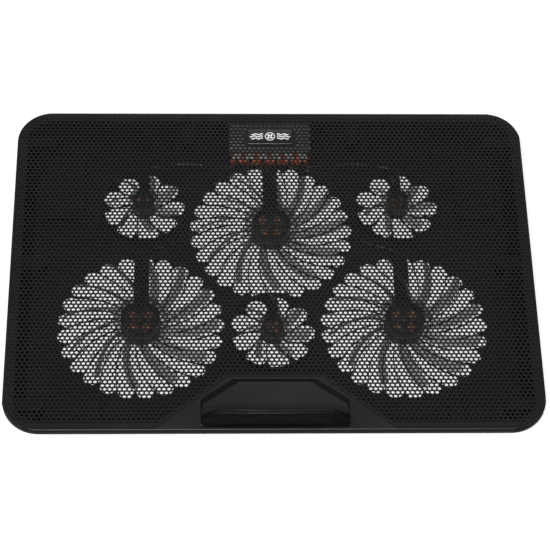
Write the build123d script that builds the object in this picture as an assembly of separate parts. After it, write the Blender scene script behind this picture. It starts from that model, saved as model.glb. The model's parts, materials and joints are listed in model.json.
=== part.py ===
"""Laptop cooling pad: a wide, thin tray with a sheet-metal deck, six fans under it and a fold-up laptop stop.

Millimetres. +X is to the user's right, +Y away from the user, +Z up. The origin is on the surface that the
rubber feet stand on, under the middle of the deck.
"""

from build123d import *
from dataclasses import dataclass
import math
import os

# ---------------------------------------------------------------- overall
PAD_W = 380.0
PAD_D = 275.0
CORNER_R = 26.0
FOOT_H = 2.5
BODY_H = 23.5          # underside of the case to the top of the deck
EDGE_H = 5.0           # upright part of the rim
TAPER = 14.0           # how far the case draws in from the rim to its underside
WALL = 2.2
FLOOR_T = 2.2
SPLIT_GAP = 0.5        # the two shells meet this far under the stop's recess

DECK_Z = FOOT_H + BODY_H
EDGE_Z = DECK_Z - EDGE_H
FLOOR_Z = FOOT_H + FLOOR_T

# ---------------------------------------------------------------- sheet deck and upper frame
SHEET_T = 0.8
SHEET_GAP = 0.2
RIM_W = 2.0            # plastic rim seen around the sheet
RIM_FILLET = 1.5
BORDER_W = 8.0         # ledge that carries the sheet
LEDGE_Z = DECK_Z - SHEET_T
PANEL_FRONT_HALF = 83.0
PANEL_REAR_HALF = 32.5
PANEL_LENGTH = 41.0
PANEL_T = 2.4
PANEL_LEDGE_W = 4.0

# ---------------------------------------------------------------- laptop stop and its recess
STOP_W = 102.6
STOP_RISE = 17.2       # above the deck when it is up
STOP_T = 4.1
STOP_CHAMFER_X = 11.5
STOP_CHAMFER_Z = 8.0
STOP_LUG_W = 17.4
STOP_GAP = 0.5         # each end of the stop to the recess wall
STOP_SWING_GAP = 0.3
STOP_PIN_R = 1.0
STOP_PIN_RUN = 0.05
STOP_PIN_L = 8.0
STOP_EDGE = 0.6
STOP_NOTCH_W = 12.0
STOP_NOTCH_DEPTH = 1.0
RECESS_CLEAR = 0.9     # under the folded stop
RECESS_FLOOR_T = 2.0
RECESS_WALL = 2.0
RECESS_LENGTH = 38.2
RECESS_REAR_HALF = 29.0
RECESS_SIDE_LENGTH = 21.8
RECESS_SLOPE = 2.0     # how far its slanted walls lean in at the floor
RECESS_CORNER_R = 4.5
FRONT_LIP_W = 3.1
RECESS_FRONT_SHARE = 0.5   # the lip's share of the wall round the recess
LIP_SLOPE_H = 0.6

# ---------------------------------------------------------------- fans
BLADE_FLOOR_GAP = 3.4
RIB_H = 0.8            # ribs between the intake slots, thinner than the floor
SLOT_ROUNDING = 0.42   # round end of a slot, as a share of its width
ARM_RISE = 1.2         # low walls along the spoke, above the floor
ARM_OPEN_END = 6.0     # they stop short of the intake's edge


@dataclass(frozen=True)
class FanSize:
    intake_r: float
    intake_r_inner: float
    slots: int
    rib: float
    swirl: float           # how far the slots turn between their ends, degrees
    rib_at: float          # where one rib meets the rim, degrees from +X
    collar_t: float
    collar_h: float
    arm_w: float
    tip_r: float
    hub_r: float
    hub_wall: float
    hub_h: float
    blades: int
    blade_t: float
    blade_pitch: float     # from the horizontal
    blade_sweep: float     # from root to tip
    magnet_r: float
    magnet_t: float
    stator_r: float
    pole_w: float
    core_t: float
    coil_t: float
    yoke: float
    tube_r: float
    shoulder: float
    sleeve_r: float
    shaft_r: float
    board_r: float


LARGE = FanSize(
    intake_r=59.5, intake_r_inner=14.8, slots=25, rib=0.8, swirl=28.0, rib_at=98.5, collar_t=0.0, collar_h=0.0,
    arm_w=11.0, tip_r=56.4, hub_r=19.0, hub_wall=1.4, hub_h=9.0, blades=12, blade_t=1.3, blade_pitch=52.0,
    blade_sweep=24.0, magnet_r=14.2, magnet_t=1.9, stator_r=11.6, pole_w=3.0, core_t=3.5,
    coil_t=1.5, yoke=1.6, tube_r=3.2, shoulder=1.0, sleeve_r=2.2, shaft_r=1.0, board_r=13.4,
)
SMALL = FanSize(
    intake_r=29.5, intake_r_inner=9.0, slots=9, rib=1.0, swirl=26.0, rib_at=110.0, collar_t=1.2, collar_h=3.0,
    arm_w=8.0, tip_r=27.6, hub_r=11.0, hub_wall=1.1, hub_h=8.0, blades=7, blade_t=1.1, blade_pitch=50.0,
    blade_sweep=22.0, magnet_r=8.0, magnet_t=1.2, stator_r=6.4, pole_w=1.8, core_t=3.0,
    coil_t=0.9, yoke=0.9, tube_r=2.1, shoulder=0.6, sleeve_r=1.5, shaft_r=0.75, board_r=7.6,
)
FRONT_FAN_X = 95.5
FRONT_FAN_Y = -40.0
REAR_FAN_Y = 42.5
CORNER_FAN_X = 95.0
CORNER_FAN_Y = 64.5
MIDDLE_FAN_Y = -45.5
FANS = {
    "front_left": (LARGE, -FRONT_FAN_X, FRONT_FAN_Y, 4.0),
    "front_right": (LARGE, FRONT_FAN_X, FRONT_FAN_Y, 19.0),
    "rear_center": (LARGE, 0.0, REAR_FAN_Y, 11.0),
    "rear_left": (SMALL, -CORNER_FAN_X, CORNER_FAN_Y, 8.0),
    "rear_right": (SMALL, CORNER_FAN_X, CORNER_FAN_Y, 30.0),
    "front_center": (SMALL, 0.0, MIDDLE_FAN_Y, 20.0),
}
COLLAR_GAP = 1.0       # intake edge to collar
MOTOR_PAD_H = 1.0
MOTOR_BOARD_T = 1.0
CORE_RISE = 3.8        # stator core above the case floor
SHOE_T = 1.0
COIL_GAP = 0.12
TUBE_TOP_GAP = 0.8     # bearing tube to the rotor's boss
SLEEVE_FLOOR = 0.6
FIT = 0.01             # fixed round fits
RUN = 0.03             # running round fits, on the radius
BLADE_MARGIN = 0.5     # hub edge to blade edge, top and bottom
BLADE_STATIONS = 5

# ---------------------------------------------------------------- control bay
BAY_W = 92.0
BAY_D = 24.0
BAY_INSET = 3.0        # rear wall of the bay, in from the rim
BOARD_W = 59.0
BOARD_FRONT_INSET = 34.5
BOARD_REAR_GAP = 0.8
BOARD_T = 1.6
BOARD_RISE = 2.2       # board underside above the case floor
COVER_SIDE_GAP = 0.2   # board to the cover's walls
COVER_T = 2.0
COVER_GAP = 0.8        # cover to the underside of the sheet
COVER_WALL = 1.0
COVER_W = BOARD_W + 2 * (COVER_SIDE_GAP + COVER_WALL)
BADGE_W = 34.5
BADGE_D = 14.0
BADGE_PROUD = 1.0
BADGE_GAP = 0.3
BADGE_FRONT_INSET = 30.0
BADGE_PEG_R = 1.4
PLUG_PITCH = 10.0
PLUG_W = 6.4
PLUG_D = 4.5
PLUG_H = 4.6
PLUG_SETBACK = 2.2
USB_W = 13.2
USB_H = 5.8
USB_D = 14.0
USB_SHELL = 0.4
USB_TONGUE_T = 1.8
USB_X = (-20.5, -2.5)
USB_CLEAR = 0.3
WHEEL_R = 8.0
WHEEL_T = 3.0
WHEEL_X = 20.5
WHEEL_PROUD = 2.0
WHEEL_SHAFT_R = 1.5
WHEEL_RIDGES = 24
DIAL_BASE_H = 1.4
DIAL_BASE_R = 3.4

# ---------------------------------------------------------------- legs, feet, screws
LEG_W = 25.0
LEG_L = 49.5           # hinge axis to the tip
LEG_T = 4.5
LEG_X = 154.0
LEG_AXIS_INSET = 34.5  # hinge axis from the rear of the pad
LEG_SIDE_GAP = 0.5
LEG_LIFT = 0.7         # underside of the folded leg above the underside of the case
LEG_PIN_R = 1.4
LEG_PIN_L = 1.5
LEG_PIN_RUN = 0.08
LEG_PAD_L = 5.0
POCKET_HEADROOM = 0.8
POCKET_WALL = 1.8
POCKET_END_GAP = 4.0
FOOT_R = 7.0
FOOT_INSET_X = 35.0
FOOT_INSET_Y = 30.0
FOOT_POCKET_GAP = 12.0
BOSS_R = 3.6
BOSS_TAB_W = 10.0
BOSS_TAB_T = 2.8       # tab from the upper frame's wall, just above the split
SCREW_R = 1.25
SCREW_L = 12.0
SCREW_HEAD_R = 2.8
SCREW_HEAD_H = 1.3
SCREW_HEAD_DEPTH = 1.4
CORNER_BOSS_INSET = 24.0
SIDE_BOSS_INSET = 22.0
SIDE_BOSS_Y = 5.0
REAR_BOSS_X = 62.0
REAR_BOSS_INSET = 20.0
FRONT_BOSS_INSET_X = 63.0
FRONT_BOSS_INSET = 29.0

LEAD_R = 0.9
LEAD_LANE = 2.8        # free floor for one lead
LEAD_BEND = 6.0
LEAD_RISE_GAP = 1.8    # board edge to the upright stretch of a lead
CUT = 1.0              # how far a cutting tool runs past a face


# ================================================================ small helpers
def at(r, deg):
    """Point at radius r and angle deg, counter-clockwise from +X."""
    return (r * math.cos(math.radians(deg)), r * math.sin(math.radians(deg)))


def block(x0, x1, y0, y1, z0, z1):
    """Box between two corners."""
    return Pos((x0 + x1) / 2, (y0 + y1) / 2, (z0 + z1) / 2) * Box(x1 - x0, y1 - y0, z1 - z0)


def rod(r, z0, z1, x=0.0, y=0.0):
    """Upright cylinder between two heights."""
    return Pos(x, y, (z0 + z1) / 2) * Cylinder(r, z1 - z0)


def pipe(r_out, r_in, z0, z1, x=0.0, y=0.0):
    """Upright tube between two heights."""
    return rod(r_out, z0, z1, x, y) - rod(r_in, z0 - CUT, z1 + CUT, x, y)


def rod_x(r, x0, x1, y, z):
    """Cylinder along X between two stations."""
    return Pos((x0 + x1) / 2, y, z) * Rot(0, 90, 0) * Cylinder(r, abs(x1 - x0))


def prism(points, z0, z1):
    """Upright prism on a polygon."""
    outline = make_face(Polyline(*points, close=True))
    return Pos(0, 0, z0) * extrude(outline, z1 - z0)


def plate(inset, z0, z1):
    """Slab with the pad's rounded outline, drawn in by inset."""
    outline = RectangleRounded(PAD_W - 2 * inset, PAD_D - 2 * inset, CORNER_R - inset)
    return Pos(0, 0, z0) * extrude(outline, z1 - z0)


def tapered(inset, z0):
    """Lower part of the pad's envelope, drawn in by inset, from height z0 up to the upright rim."""
    low_inset = inset + TAPER * (EDGE_Z - z0) / (EDGE_Z - FOOT_H)
    low = Pos(0, 0, z0) * RectangleRounded(PAD_W - 2 * low_inset, PAD_D - 2 * low_inset, CORNER_R - low_inset)
    high = Pos(0, 0, EDGE_Z) * RectangleRounded(PAD_W - 2 * inset, PAD_D - 2 * inset, CORNER_R - inset)
    return loft([low.face(), high.face()], ruled=True)


def save(node, shape):
    """Writes one named piece."""
    export_step(shape if isinstance(shape, Compound) else Compound([shape]), f"parts/{node}.step")


# ================================================================ shared places
FRONT_Y = -PAD_D / 2
REAR_Y = PAD_D / 2
PANEL_FRONT_Y = FRONT_Y + RIM_W
PANEL_REAR_Y = PANEL_FRONT_Y + PANEL_LENGTH
STOP_Y = FRONT_Y + FRONT_LIP_W + STOP_SWING_GAP + STOP_T / 2
STOP_Z = DECK_Z - STOP_T / 2
RECESS_FRONT_Y = FRONT_Y + FRONT_LIP_W
RECESS_FLOOR_Z = DECK_Z - STOP_T - RECESS_CLEAR
RECESS_HALF = STOP_W / 2 + STOP_GAP
SPLIT_Z = RECESS_FLOOR_Z - RECESS_FLOOR_T - SPLIT_GAP

BAY_REAR_Y = REAR_Y - BAY_INSET
BOARD_FRONT_Y = REAR_Y - BOARD_FRONT_INSET
BOARD_REAR_Y = BAY_REAR_Y - WALL - BOARD_REAR_GAP
BOARD_Z = FLOOR_Z + BOARD_RISE
BOARD_TOP = BOARD_Z + BOARD_T
COVER_TOP = LEDGE_Z - COVER_GAP
BADGE_Y = REAR_Y - BADGE_FRONT_INSET + BADGE_D / 2
WHEEL_Y = BAY_REAR_Y + WHEEL_PROUD - WHEEL_R

LEG_AXIS_Y = REAR_Y - LEG_AXIS_INSET
LEG_AXIS_Z = FOOT_H + LEG_LIFT + LEG_T / 2
POCKET_TOP = LEG_AXIS_Z + LEG_T / 2 + POCKET_HEADROOM

BOSSES = (
    [(sx * (PAD_W / 2 - CORNER_BOSS_INSET), sy * (PAD_D / 2 - CORNER_BOSS_INSET), "x")
     for sx in (-1, 1) for sy in (-1, 1)]
    + [(sx * (PAD_W / 2 - SIDE_BOSS_INSET), SIDE_BOSS_Y, "x") for sx in (-1, 1)]
    + [(sx * REAR_BOSS_X, REAR_Y - REAR_BOSS_INSET, "y") for sx in (-1, 1)]
    + [(sx * (PAD_W / 2 - FRONT_BOSS_INSET_X), FRONT_Y + FRONT_BOSS_INSET, "y") for sx in (-1, 1)]
)
FEET = [(sx * (PAD_W / 2 - FOOT_INSET_X), FRONT_Y + FOOT_INSET_Y) for sx in (-1, 1)] + [
    (sx * (LEG_X - LEG_W / 2 - 2 * POCKET_WALL - FOOT_R - FOOT_POCKET_GAP), REAR_Y - FOOT_INSET_Y) for sx in (-1, 1)]


def panel_outline(grow, ahead=0.0):
    """Trapezium at the front of the deck, grown at its rear and slanted sides and carried ahead past its front."""
    slant = math.atan2(PANEL_LENGTH, PANEL_FRONT_HALF - PANEL_REAR_HALF)
    run = (PANEL_FRONT_HALF - PANEL_REAR_HALF) / PANEL_LENGTH
    side = PANEL_FRONT_HALF + grow / math.sin(slant)
    front = side + run * ahead
    rear = side - run * (PANEL_LENGTH + grow)
    return [(-front, PANEL_FRONT_Y - ahead), (front, PANEL_FRONT_Y - ahead),
            (rear, PANEL_REAR_Y + grow), (-rear, PANEL_REAR_Y + grow)]


def recess_outline(grow, lean=0.0):
    """Hollow behind the stop: upright sides, then slanted ones, moved in by lean, to a shorter rear edge."""
    slant = math.atan2(RECESS_LENGTH - RECESS_SIDE_LENGTH, RECESS_HALF - RECESS_REAR_HALF)
    half = RECESS_HALF + grow
    rear_half = RECESS_REAR_HALF + grow * math.tan(slant / 2) - lean / math.sin(slant)
    side_y = RECESS_FRONT_Y + RECESS_SIDE_LENGTH + grow * math.tan(slant / 2) - lean / math.cos(slant)
    rear_y = RECESS_FRONT_Y + RECESS_LENGTH + grow
    front_y = RECESS_FRONT_Y - grow * RECESS_FRONT_SHARE
    return [(-half, front_y), (half, front_y), (half, side_y), (rear_half, rear_y), (-rear_half, rear_y),
            (-half, side_y)]


def recess_hollow():
    """The hollow itself: rounded rear corners, upright sides and rear, slanted walls that lean in at the floor."""
    faces = []
    for z, lean in ((RECESS_FLOOR_Z, RECESS_SLOPE), (DECK_Z, 0.0), (DECK_Z + CUT, 0.0)):
        outline = make_face(Polyline(*recess_outline(0, lean), close=True))
        corners = outline.vertices().filter_by(lambda v: v.Y > RECESS_FRONT_Y + CUT)
        faces.append(Pos(0, 0, z) * fillet(corners, RECESS_CORNER_R).face())
    return loft(faces[:2], ruled=True) + loft(faces[1:], ruled=True)


# ================================================================ deck sheet and upper frame
def badge_window(gap, z0, z1):
    return block(-BADGE_W / 2 - gap, BADGE_W / 2 + gap, BADGE_Y - BADGE_D / 2 - gap, BADGE_Y + BADGE_D / 2 + gap,
                 z0, z1)


def top_mesh():
    """Sheet-metal deck: rounded outline, a notch for the front panel and a window for the badge."""
    sheet = plate(RIM_W + SHEET_GAP, LEDGE_Z, DECK_Z)
    sheet -= prism(panel_outline(SHEET_GAP, CUT), LEDGE_Z - CUT, DECK_Z + CUT)
    return sheet - badge_window(BADGE_GAP, LEDGE_Z - CUT, DECK_Z + CUT)


def upper_frame():
    """Rim, ledge for the sheet, front panel with the stop's recess, and the screw bosses."""
    shell = plate(0, EDGE_Z, DECK_Z)
    shell = fillet(shell.edges().filter_by_position(Axis.Z, DECK_Z, DECK_Z), RIM_FILLET)
    skirt = tapered(0, FOOT_H) - block(-PAD_W, PAD_W, -PAD_D, PAD_D, 0, SPLIT_Z)
    frame = shell + skirt
    frame -= tapered(WALL, FLOOR_Z)
    frame -= plate(BORDER_W, EDGE_Z - CUT, DECK_Z + CUT)
    frame -= plate(RIM_W, LEDGE_Z, DECK_Z + CUT)

    top = SPLIT_Z + BOSS_TAB_T
    envelope = tapered(WALL / 2, FOOT_H) + plate(WALL / 2, EDGE_Z, DECK_Z)
    for x, y, way in BOSSES:
        reach_x = math.copysign(PAD_W / 2, x) if way == "x" else x
        reach_y = math.copysign(PAD_D / 2, y) if way == "y" else y
        spread = BOSS_TAB_W / 2
        x0, x1 = (min(x, reach_x), max(x, reach_x)) if way == "x" else (x - spread, x + spread)
        y0, y1 = (min(y, reach_y), max(y, reach_y)) if way == "y" else (y - spread, y + spread)
        tab = block(x0, x1, y0, y1, SPLIT_Z, top) & envelope
        frame += tab + rod(spread, SPLIT_Z, top, x, y) + rod(BOSS_R, FLOOR_Z, top, x, y)

    frame += prism(panel_outline(PANEL_LEDGE_W), LEDGE_Z - PANEL_T, LEDGE_Z)
    frame += prism(panel_outline(0), DECK_Z - PANEL_T, DECK_Z)
    frame += prism(recess_outline(RECESS_WALL), RECESS_FLOOR_Z - RECESS_FLOOR_T, DECK_Z - PANEL_T / 2)
    frame -= recess_hollow()
    frame -= lip_slope()
    for side in (-1, 1):
        frame -= rod_x(STOP_PIN_R + FIT, side * (RECESS_HALF - CUT), side * (STOP_W / 2 + STOP_PIN_L / 2 + FIT),
                       STOP_Y, STOP_Z)
    for x, y, _ in BOSSES:
        frame -= rod(SCREW_R + FIT, FLOOR_Z - CUT, FOOT_H + SCREW_L + CUT, x, y)
    return frame


def lip_slope():
    """Wedge off the front lip between the stop's lugs, falling towards the stop."""
    half = STOP_W / 2 - STOP_LUG_W
    side = make_face(Polyline((RECESS_FRONT_Y + CUT, DECK_Z + CUT), (FRONT_Y + RIM_FILLET, DECK_Z + CUT),
                              (FRONT_Y + RIM_FILLET, DECK_Z), (RECESS_FRONT_Y, DECK_Z - LIP_SLOPE_H),
                              (RECESS_FRONT_Y + CUT, DECK_Z - LIP_SLOPE_H), close=True))
    return Pos(-half, 0, 0) * extrude(Plane.YZ * side, 2 * half)


# ================================================================ laptop stop
def laptop_stop():
    """Upright plate with clipped top corners, a rounded foot at each end around the hinge pins."""
    half = STOP_W / 2
    top = DECK_Z + STOP_RISE
    face = make_face(Polyline((-half, STOP_Z), (half, STOP_Z), (half, top - STOP_CHAMFER_Z),
                              (half - STOP_CHAMFER_X, top), (-half + STOP_CHAMFER_X, top),
                              (-half, top - STOP_CHAMFER_Z), close=True))
    front_y = STOP_Y - STOP_T / 2
    body = Pos(0, front_y + STOP_T, 0) * extrude(Plane.XZ * face, STOP_T)
    body -= block(-half + STOP_LUG_W, half - STOP_LUG_W, front_y - CUT, front_y + STOP_T + CUT,
                  STOP_Z - CUT, STOP_Z + STOP_T / 4)
    top_edges = body.edges().filter_by(lambda e: e.center().Z > STOP_Z + STOP_T and
                                       abs(abs(e.center().Y - STOP_Y) - STOP_T / 2) < 0.01)
    body = chamfer(top_edges, STOP_EDGE)
    for side in (-1, 1):
        body += rod_x(STOP_T / 2, side * (half - STOP_LUG_W), side * half, STOP_Y, STOP_Z)
    for side in (-1, 1):
        body -= rod_x(STOP_PIN_R + STOP_PIN_RUN, side * (half - STOP_PIN_L / 2 - FIT), side * (half + CUT),
                      STOP_Y, STOP_Z)
    notch_r = (STOP_NOTCH_W ** 2 / 4 + STOP_NOTCH_DEPTH ** 2) / (2 * STOP_NOTCH_DEPTH)
    notch = Pos(0, STOP_Y + STOP_T / 2 - STOP_NOTCH_DEPTH + notch_r, top) * Cylinder(notch_r, 3.0)
    return body - notch


def stop_hinge_pins():
    pins = []
    for side in (-1, 1):
        end = STOP_W / 2 + STOP_PIN_L / 2
        pins.append(rod_x(STOP_PIN_R, side * (end - STOP_PIN_L), side * end, STOP_Y, STOP_Z))
    return Compound(pins)


# ================================================================ bottom case
def rounding_r(fan):
    """Radius at which the slots' round ends begin."""
    return fan.intake_r - SLOT_ROUNDING * (2 * math.pi / fan.slots * fan.intake_r - fan.rib)


def rib_relief(fan, x, y):
    """What is taken off the ribs from above, up to the slots' round ends and either side of the spoke."""
    ring = pipe(rounding_r(fan), fan.intake_r_inner, FOOT_H + RIB_H, FLOOR_Z + CUT, x, y)
    half = fan.arm_w / 2
    return ring - block(x - half, x + half, y, y + 2 * fan.intake_r, FOOT_H, FLOOR_Z + 2 * CUT)


def intake_slot(fan, index, phase):
    """One swirling slot with round outer end, between two ribs of constant width."""
    pitch = 360.0 / fan.slots
    round_r = rounding_r(fan)

    def corner(r, side):
        half = pitch / 2 - math.degrees(fan.rib / 2 / r)
        swirl = fan.swirl * (r - fan.intake_r_inner) / (fan.intake_r - fan.intake_r_inner)
        return at(r, phase + index * pitch + swirl + side * half)

    middle_r = (fan.intake_r_inner + round_r) / 2
    r_in = fan.intake_r_inner
    edges = [
        ThreePointArc(corner(r_in, -1), corner(middle_r, -1), corner(round_r, -1)),
        ThreePointArc(corner(round_r, -1), corner(fan.intake_r, 0), corner(round_r, 1)),
        ThreePointArc(corner(round_r, 1), corner(middle_r, 1), corner(r_in, 1)),
        ThreePointArc(corner(r_in, 1), corner(r_in - 0.3, 0), corner(r_in, -1)),
    ]
    return make_face(Wire(edges))


def intake(fan, x, y):
    """All of a fan's slots but for the spoke that runs to the rear, as cutting prisms."""
    phase = fan.rib_at + 180.0 / fan.slots - fan.swirl
    spoke = Pos(0, fan.intake_r / 2 + fan.intake_r_inner / 4) * Rectangle(fan.arm_w, fan.intake_r * 1.2)
    tools = []
    for index in range(fan.slots):
        shape = intake_slot(fan, index, phase) - spoke
        tools += [extrude(f, FLOOR_T + 2 * CUT) for f in shape.faces() if f.area > 4.0]
    return [Pos(x, y, FOOT_H - CUT) * tool for tool in tools]


def collar_r(fan):
    return fan.intake_r + COLLAR_GAP


def motor_seat(fan, x, y):
    """Round pad, shouldered bearing tube and the spoke to the rear, all moulded with the floor."""
    core_z = FLOOR_Z + CORE_RISE
    tube_top = rotor_boss_z(fan) - TUBE_TOP_GAP
    seat = rod(fan.board_r + 0.6, FLOOR_Z, FLOOR_Z + MOTOR_PAD_H, x, y)
    seat += rod(fan.tube_r + fan.shoulder, FLOOR_Z, core_z, x, y)
    seat += rod(fan.tube_r, FLOOR_Z, tube_top, x, y)
    for side in (-1, 1):
        wall_x = x + side * (fan.arm_w / 2 - 0.6)
        seat += block(wall_x - 0.6, wall_x + 0.6, y + fan.intake_r_inner, y + fan.intake_r - ARM_OPEN_END, FLOOR_Z,
                      FLOOR_Z + ARM_RISE)
    return seat


def bottom_case():
    """Tapered tray with the fan intakes, motor seats, control bay, leg pockets and screw holes."""
    case = tapered(0, FOOT_H) - block(-PAD_W, PAD_W, -PAD_D, PAD_D, SPLIT_Z, DECK_Z + CUT)
    bay = block(-BAY_W / 2, BAY_W / 2, BAY_REAR_Y - BAY_D, BAY_REAR_Y, FOOT_H, SPLIT_Z)
    case += bay
    case -= tapered(WALL, FLOOR_Z)
    case -= block(-BAY_W / 2 + WALL, BAY_W / 2 - WALL, BAY_REAR_Y - BAY_D - CUT, BAY_REAR_Y - WALL, FLOOR_Z,
                  SPLIT_Z + CUT)

    middle, middle_x, middle_y, _ = FANS["front_center"]
    keep_out = rod(collar_r(middle) + middle.collar_t + LEAD_LANE, 0, DECK_Z, middle_x, middle_y)
    for name, (fan, x, y, _) in FANS.items():
        tools = intake(fan, x, y) + [rib_relief(fan, x, y)]
        if name == "rear_center":
            tools = [piece for tool in tools for piece in (tool - keep_out).solids()]
        case -= tools

    for fan, x, y, _ in FANS.values():
        case += motor_seat(fan, x, y)
        if fan.collar_t:
            ring = pipe(collar_r(fan) + fan.collar_t, collar_r(fan), FLOOR_Z, FLOOR_Z + fan.collar_h, x, y)
            gate_half = fan.arm_w / 2 + COLLAR_GAP
            gate = block(x - gate_half, x + gate_half, y, y + 2 * fan.intake_r, FLOOR_Z, FLOOR_Z + 2 * fan.collar_h)
            case += ring - gate
        case -= rod(fan.sleeve_r + FIT, FLOOR_Z + SLEEVE_FLOOR, DECK_Z, x, y)

    for side in (-1, 1):
        case += block(*pocket_span(side, POCKET_WALL), FOOT_H, POCKET_TOP + POCKET_WALL)
        case -= block(*pocket_span(side, 0), FOOT_H - CUT, POCKET_TOP)
        reach = LEG_W / 2 + LEG_PIN_L + FIT
        case -= rod_x(LEG_PIN_R + LEG_PIN_RUN, side * LEG_X - reach, side * LEG_X + reach, LEG_AXIS_Y, LEG_AXIS_Z)

    for x, y in board_posts():
        case += rod(2.4, FLOOR_Z, BOARD_Z, x, y) - rod(0.9, FLOOR_Z, BOARD_Z + CUT, x, y)
    for x in USB_X:
        case -= block(x - USB_W / 2 - USB_CLEAR, x + USB_W / 2 + USB_CLEAR, BAY_REAR_Y - WALL - CUT, BAY_REAR_Y + CUT,
                      BOARD_TOP - USB_CLEAR, BOARD_TOP + USB_H + USB_CLEAR)
    wheel_z = BOARD_TOP + DIAL_BASE_H
    case -= rod(WHEEL_R + 0.5, wheel_z - 0.5, wheel_z + WHEEL_T + 0.8, WHEEL_X, WHEEL_Y)

    for x, y, _ in BOSSES:
        case -= rod(SCREW_R + 0.35, 0, FLOOR_Z + CUT, x, y)
        case -= rod(SCREW_HEAD_R + 0.3, 0, FOOT_H + SCREW_HEAD_DEPTH, x, y)
    return case


def pocket_span(side, grow):
    """X and Y limits of a leg's pocket in the underside."""
    half = LEG_W / 2 + LEG_SIDE_GAP + grow
    return (side * LEG_X - half, side * LEG_X + half,
            LEG_AXIS_Y - LEG_L - LEG_SIDE_GAP - grow, LEG_AXIS_Y + POCKET_END_GAP + grow)


def board_posts():
    x = BOARD_W / 2 - 4.0
    return [(-x, BOARD_FRONT_Y + 14.0), (x, BOARD_FRONT_Y + 14.0)]


# ================================================================ fans
def blade_z(fan):
    return FLOOR_Z + BLADE_FLOOR_GAP


def hub_top(fan):
    return blade_z(fan) + fan.hub_h


def rotor_boss_z(fan):
    """Underside of the boss that holds the shaft."""
    return hub_top(fan) - fan.hub_wall - 2.0


def impeller(fan):
    """Cup-shaped hub with swept, pitched blades. The origin is on the fan's axis, at the row's floor."""
    top = hub_top(fan)
    low = blade_z(fan)
    hub = rod(fan.hub_r, low + 0.4, top)
    hub -= rod(fan.hub_r - fan.hub_wall, low - CUT, top - fan.hub_wall)
    hub += rod(fan.shaft_r + 1.8, rotor_boss_z(fan), top - fan.hub_wall / 2)
    hub -= rod(fan.shaft_r + FIT, rotor_boss_z(fan) - CUT, top - fan.hub_wall / 2)
    blade = single_blade(fan)
    pitch = 360.0 / fan.blades
    return hub + [Rot(0, 0, k * pitch) * blade for k in range(fan.blades)]


def single_blade(fan):
    """A steep, thin blade swept counter-clockwise outwards, its counter-clockwise edge the higher one.

    It is lofted through tilted rectangles, as tall as the hub but for a margin at its top and bottom."""
    root = fan.hub_r - fan.hub_wall * 0.6
    pitch = math.radians(fan.blade_pitch)
    chord = (fan.hub_h - 2 * BLADE_MARGIN - fan.blade_t * math.cos(pitch)) / math.sin(pitch)
    middle_z = blade_z(fan) + fan.hub_h / 2
    sections = []
    for k in range(BLADE_STATIONS):
        along = k / (BLADE_STATIONS - 1)
        r = root + (fan.tip_r - root) * along
        angle = fan.blade_sweep * along
        out = at(1.0, angle)
        place = Plane(origin=(r * out[0], r * out[1], middle_z), x_dir=(-out[1], out[0], 0), z_dir=(*out, 0))
        sections.append((place * Rot(0, 0, fan.blade_pitch) * Rectangle(chord, fan.blade_t)).face())
    return loft(sections)


def magnet_ring(fan):
    return pipe(fan.magnet_r, fan.magnet_r - fan.magnet_t, FLOOR_Z + CORE_RISE - 0.6, hub_top(fan) - fan.hub_wall)


def shaft(fan):
    return rod(fan.shaft_r, FLOOR_Z + SLEEVE_FLOOR + 0.3, hub_top(fan) - fan.hub_wall / 2)


def stator(fan):
    """Four-pole laminated core: a ring round the bearing tube and four arms with curved shoes."""
    z0 = FLOOR_Z + CORE_RISE
    z1 = z0 + fan.core_t
    core = rod(fan.tube_r + fan.yoke, z0, z1)
    shoes = pipe(fan.stator_r, fan.stator_r - SHOE_T, z0, z1)
    gap_half = fan.pole_w * 0.55
    gaps = [Rot(0, 0, 45 + 90 * k) * block(0, fan.stator_r + CUT, -gap_half, gap_half, z0 - CUT, z1 + CUT)
            for k in range(4)]
    core += shoes - gaps
    for k in range(4):
        core += Rot(0, 0, 90 * k) * block(0, fan.stator_r - SHOE_T / 2, -fan.pole_w / 2, fan.pole_w / 2, z0, z1)
    return core - rod(fan.tube_r + FIT, z0 - CUT, z1 + CUT)


def coils(fan):
    """Copper windings, one closed turn pack round each pole."""
    z0 = FLOOR_Z + CORE_RISE
    z1 = z0 + fan.core_t
    half = fan.pole_w / 2
    outer_end = math.sqrt((fan.stator_r - SHOE_T - COIL_GAP) ** 2 - (half + fan.coil_t) ** 2)
    inner_end = fan.tube_r + fan.yoke + COIL_GAP
    ring = block(inner_end, outer_end, -half - fan.coil_t, half + fan.coil_t, z0 - fan.coil_t, z1 + fan.coil_t)
    ring = fillet(ring.edges().filter_by(Axis.X), fan.coil_t * 0.7)
    ring -= block(inner_end - CUT, outer_end + CUT, -half - 0.05, half + 0.05, z0 - 0.05, z1 + 0.05)
    return [Rot(0, 0, 90 * k) * ring for k in range(4)]


def motor_board(fan):
    z0 = FLOOR_Z + MOTOR_PAD_H
    return pipe(fan.board_r, fan.tube_r + fan.shoulder + 0.2, z0, z0 + MOTOR_BOARD_T)


def bearing_sleeve(fan):
    return pipe(fan.sleeve_r, fan.shaft_r + RUN, FLOOR_Z + SLEEVE_FLOOR, rotor_boss_z(fan) - TUBE_TOP_GAP)


# ================================================================ control bay
def control_cover():
    """Shallow bridge over the board, standing on two side walls, with peg holes for the badge."""
    half = COVER_W / 2
    rear_y = REAR_Y - BORDER_W - 0.2
    top = block(-half, half, BOARD_FRONT_Y, rear_y, COVER_TOP - COVER_T, COVER_TOP)
    cover = top
    for side in (-1, 1):
        x0, x1 = sorted((side * half, side * (half - COVER_WALL)))
        cover += block(x0, x1, BOARD_FRONT_Y + 6.0, rear_y, FLOOR_Z, COVER_TOP)
    for x in badge_pegs():
        cover -= rod(BADGE_PEG_R + FIT, COVER_TOP - COVER_T - CUT, COVER_TOP + CUT, x, BADGE_Y)
    return cover


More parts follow.
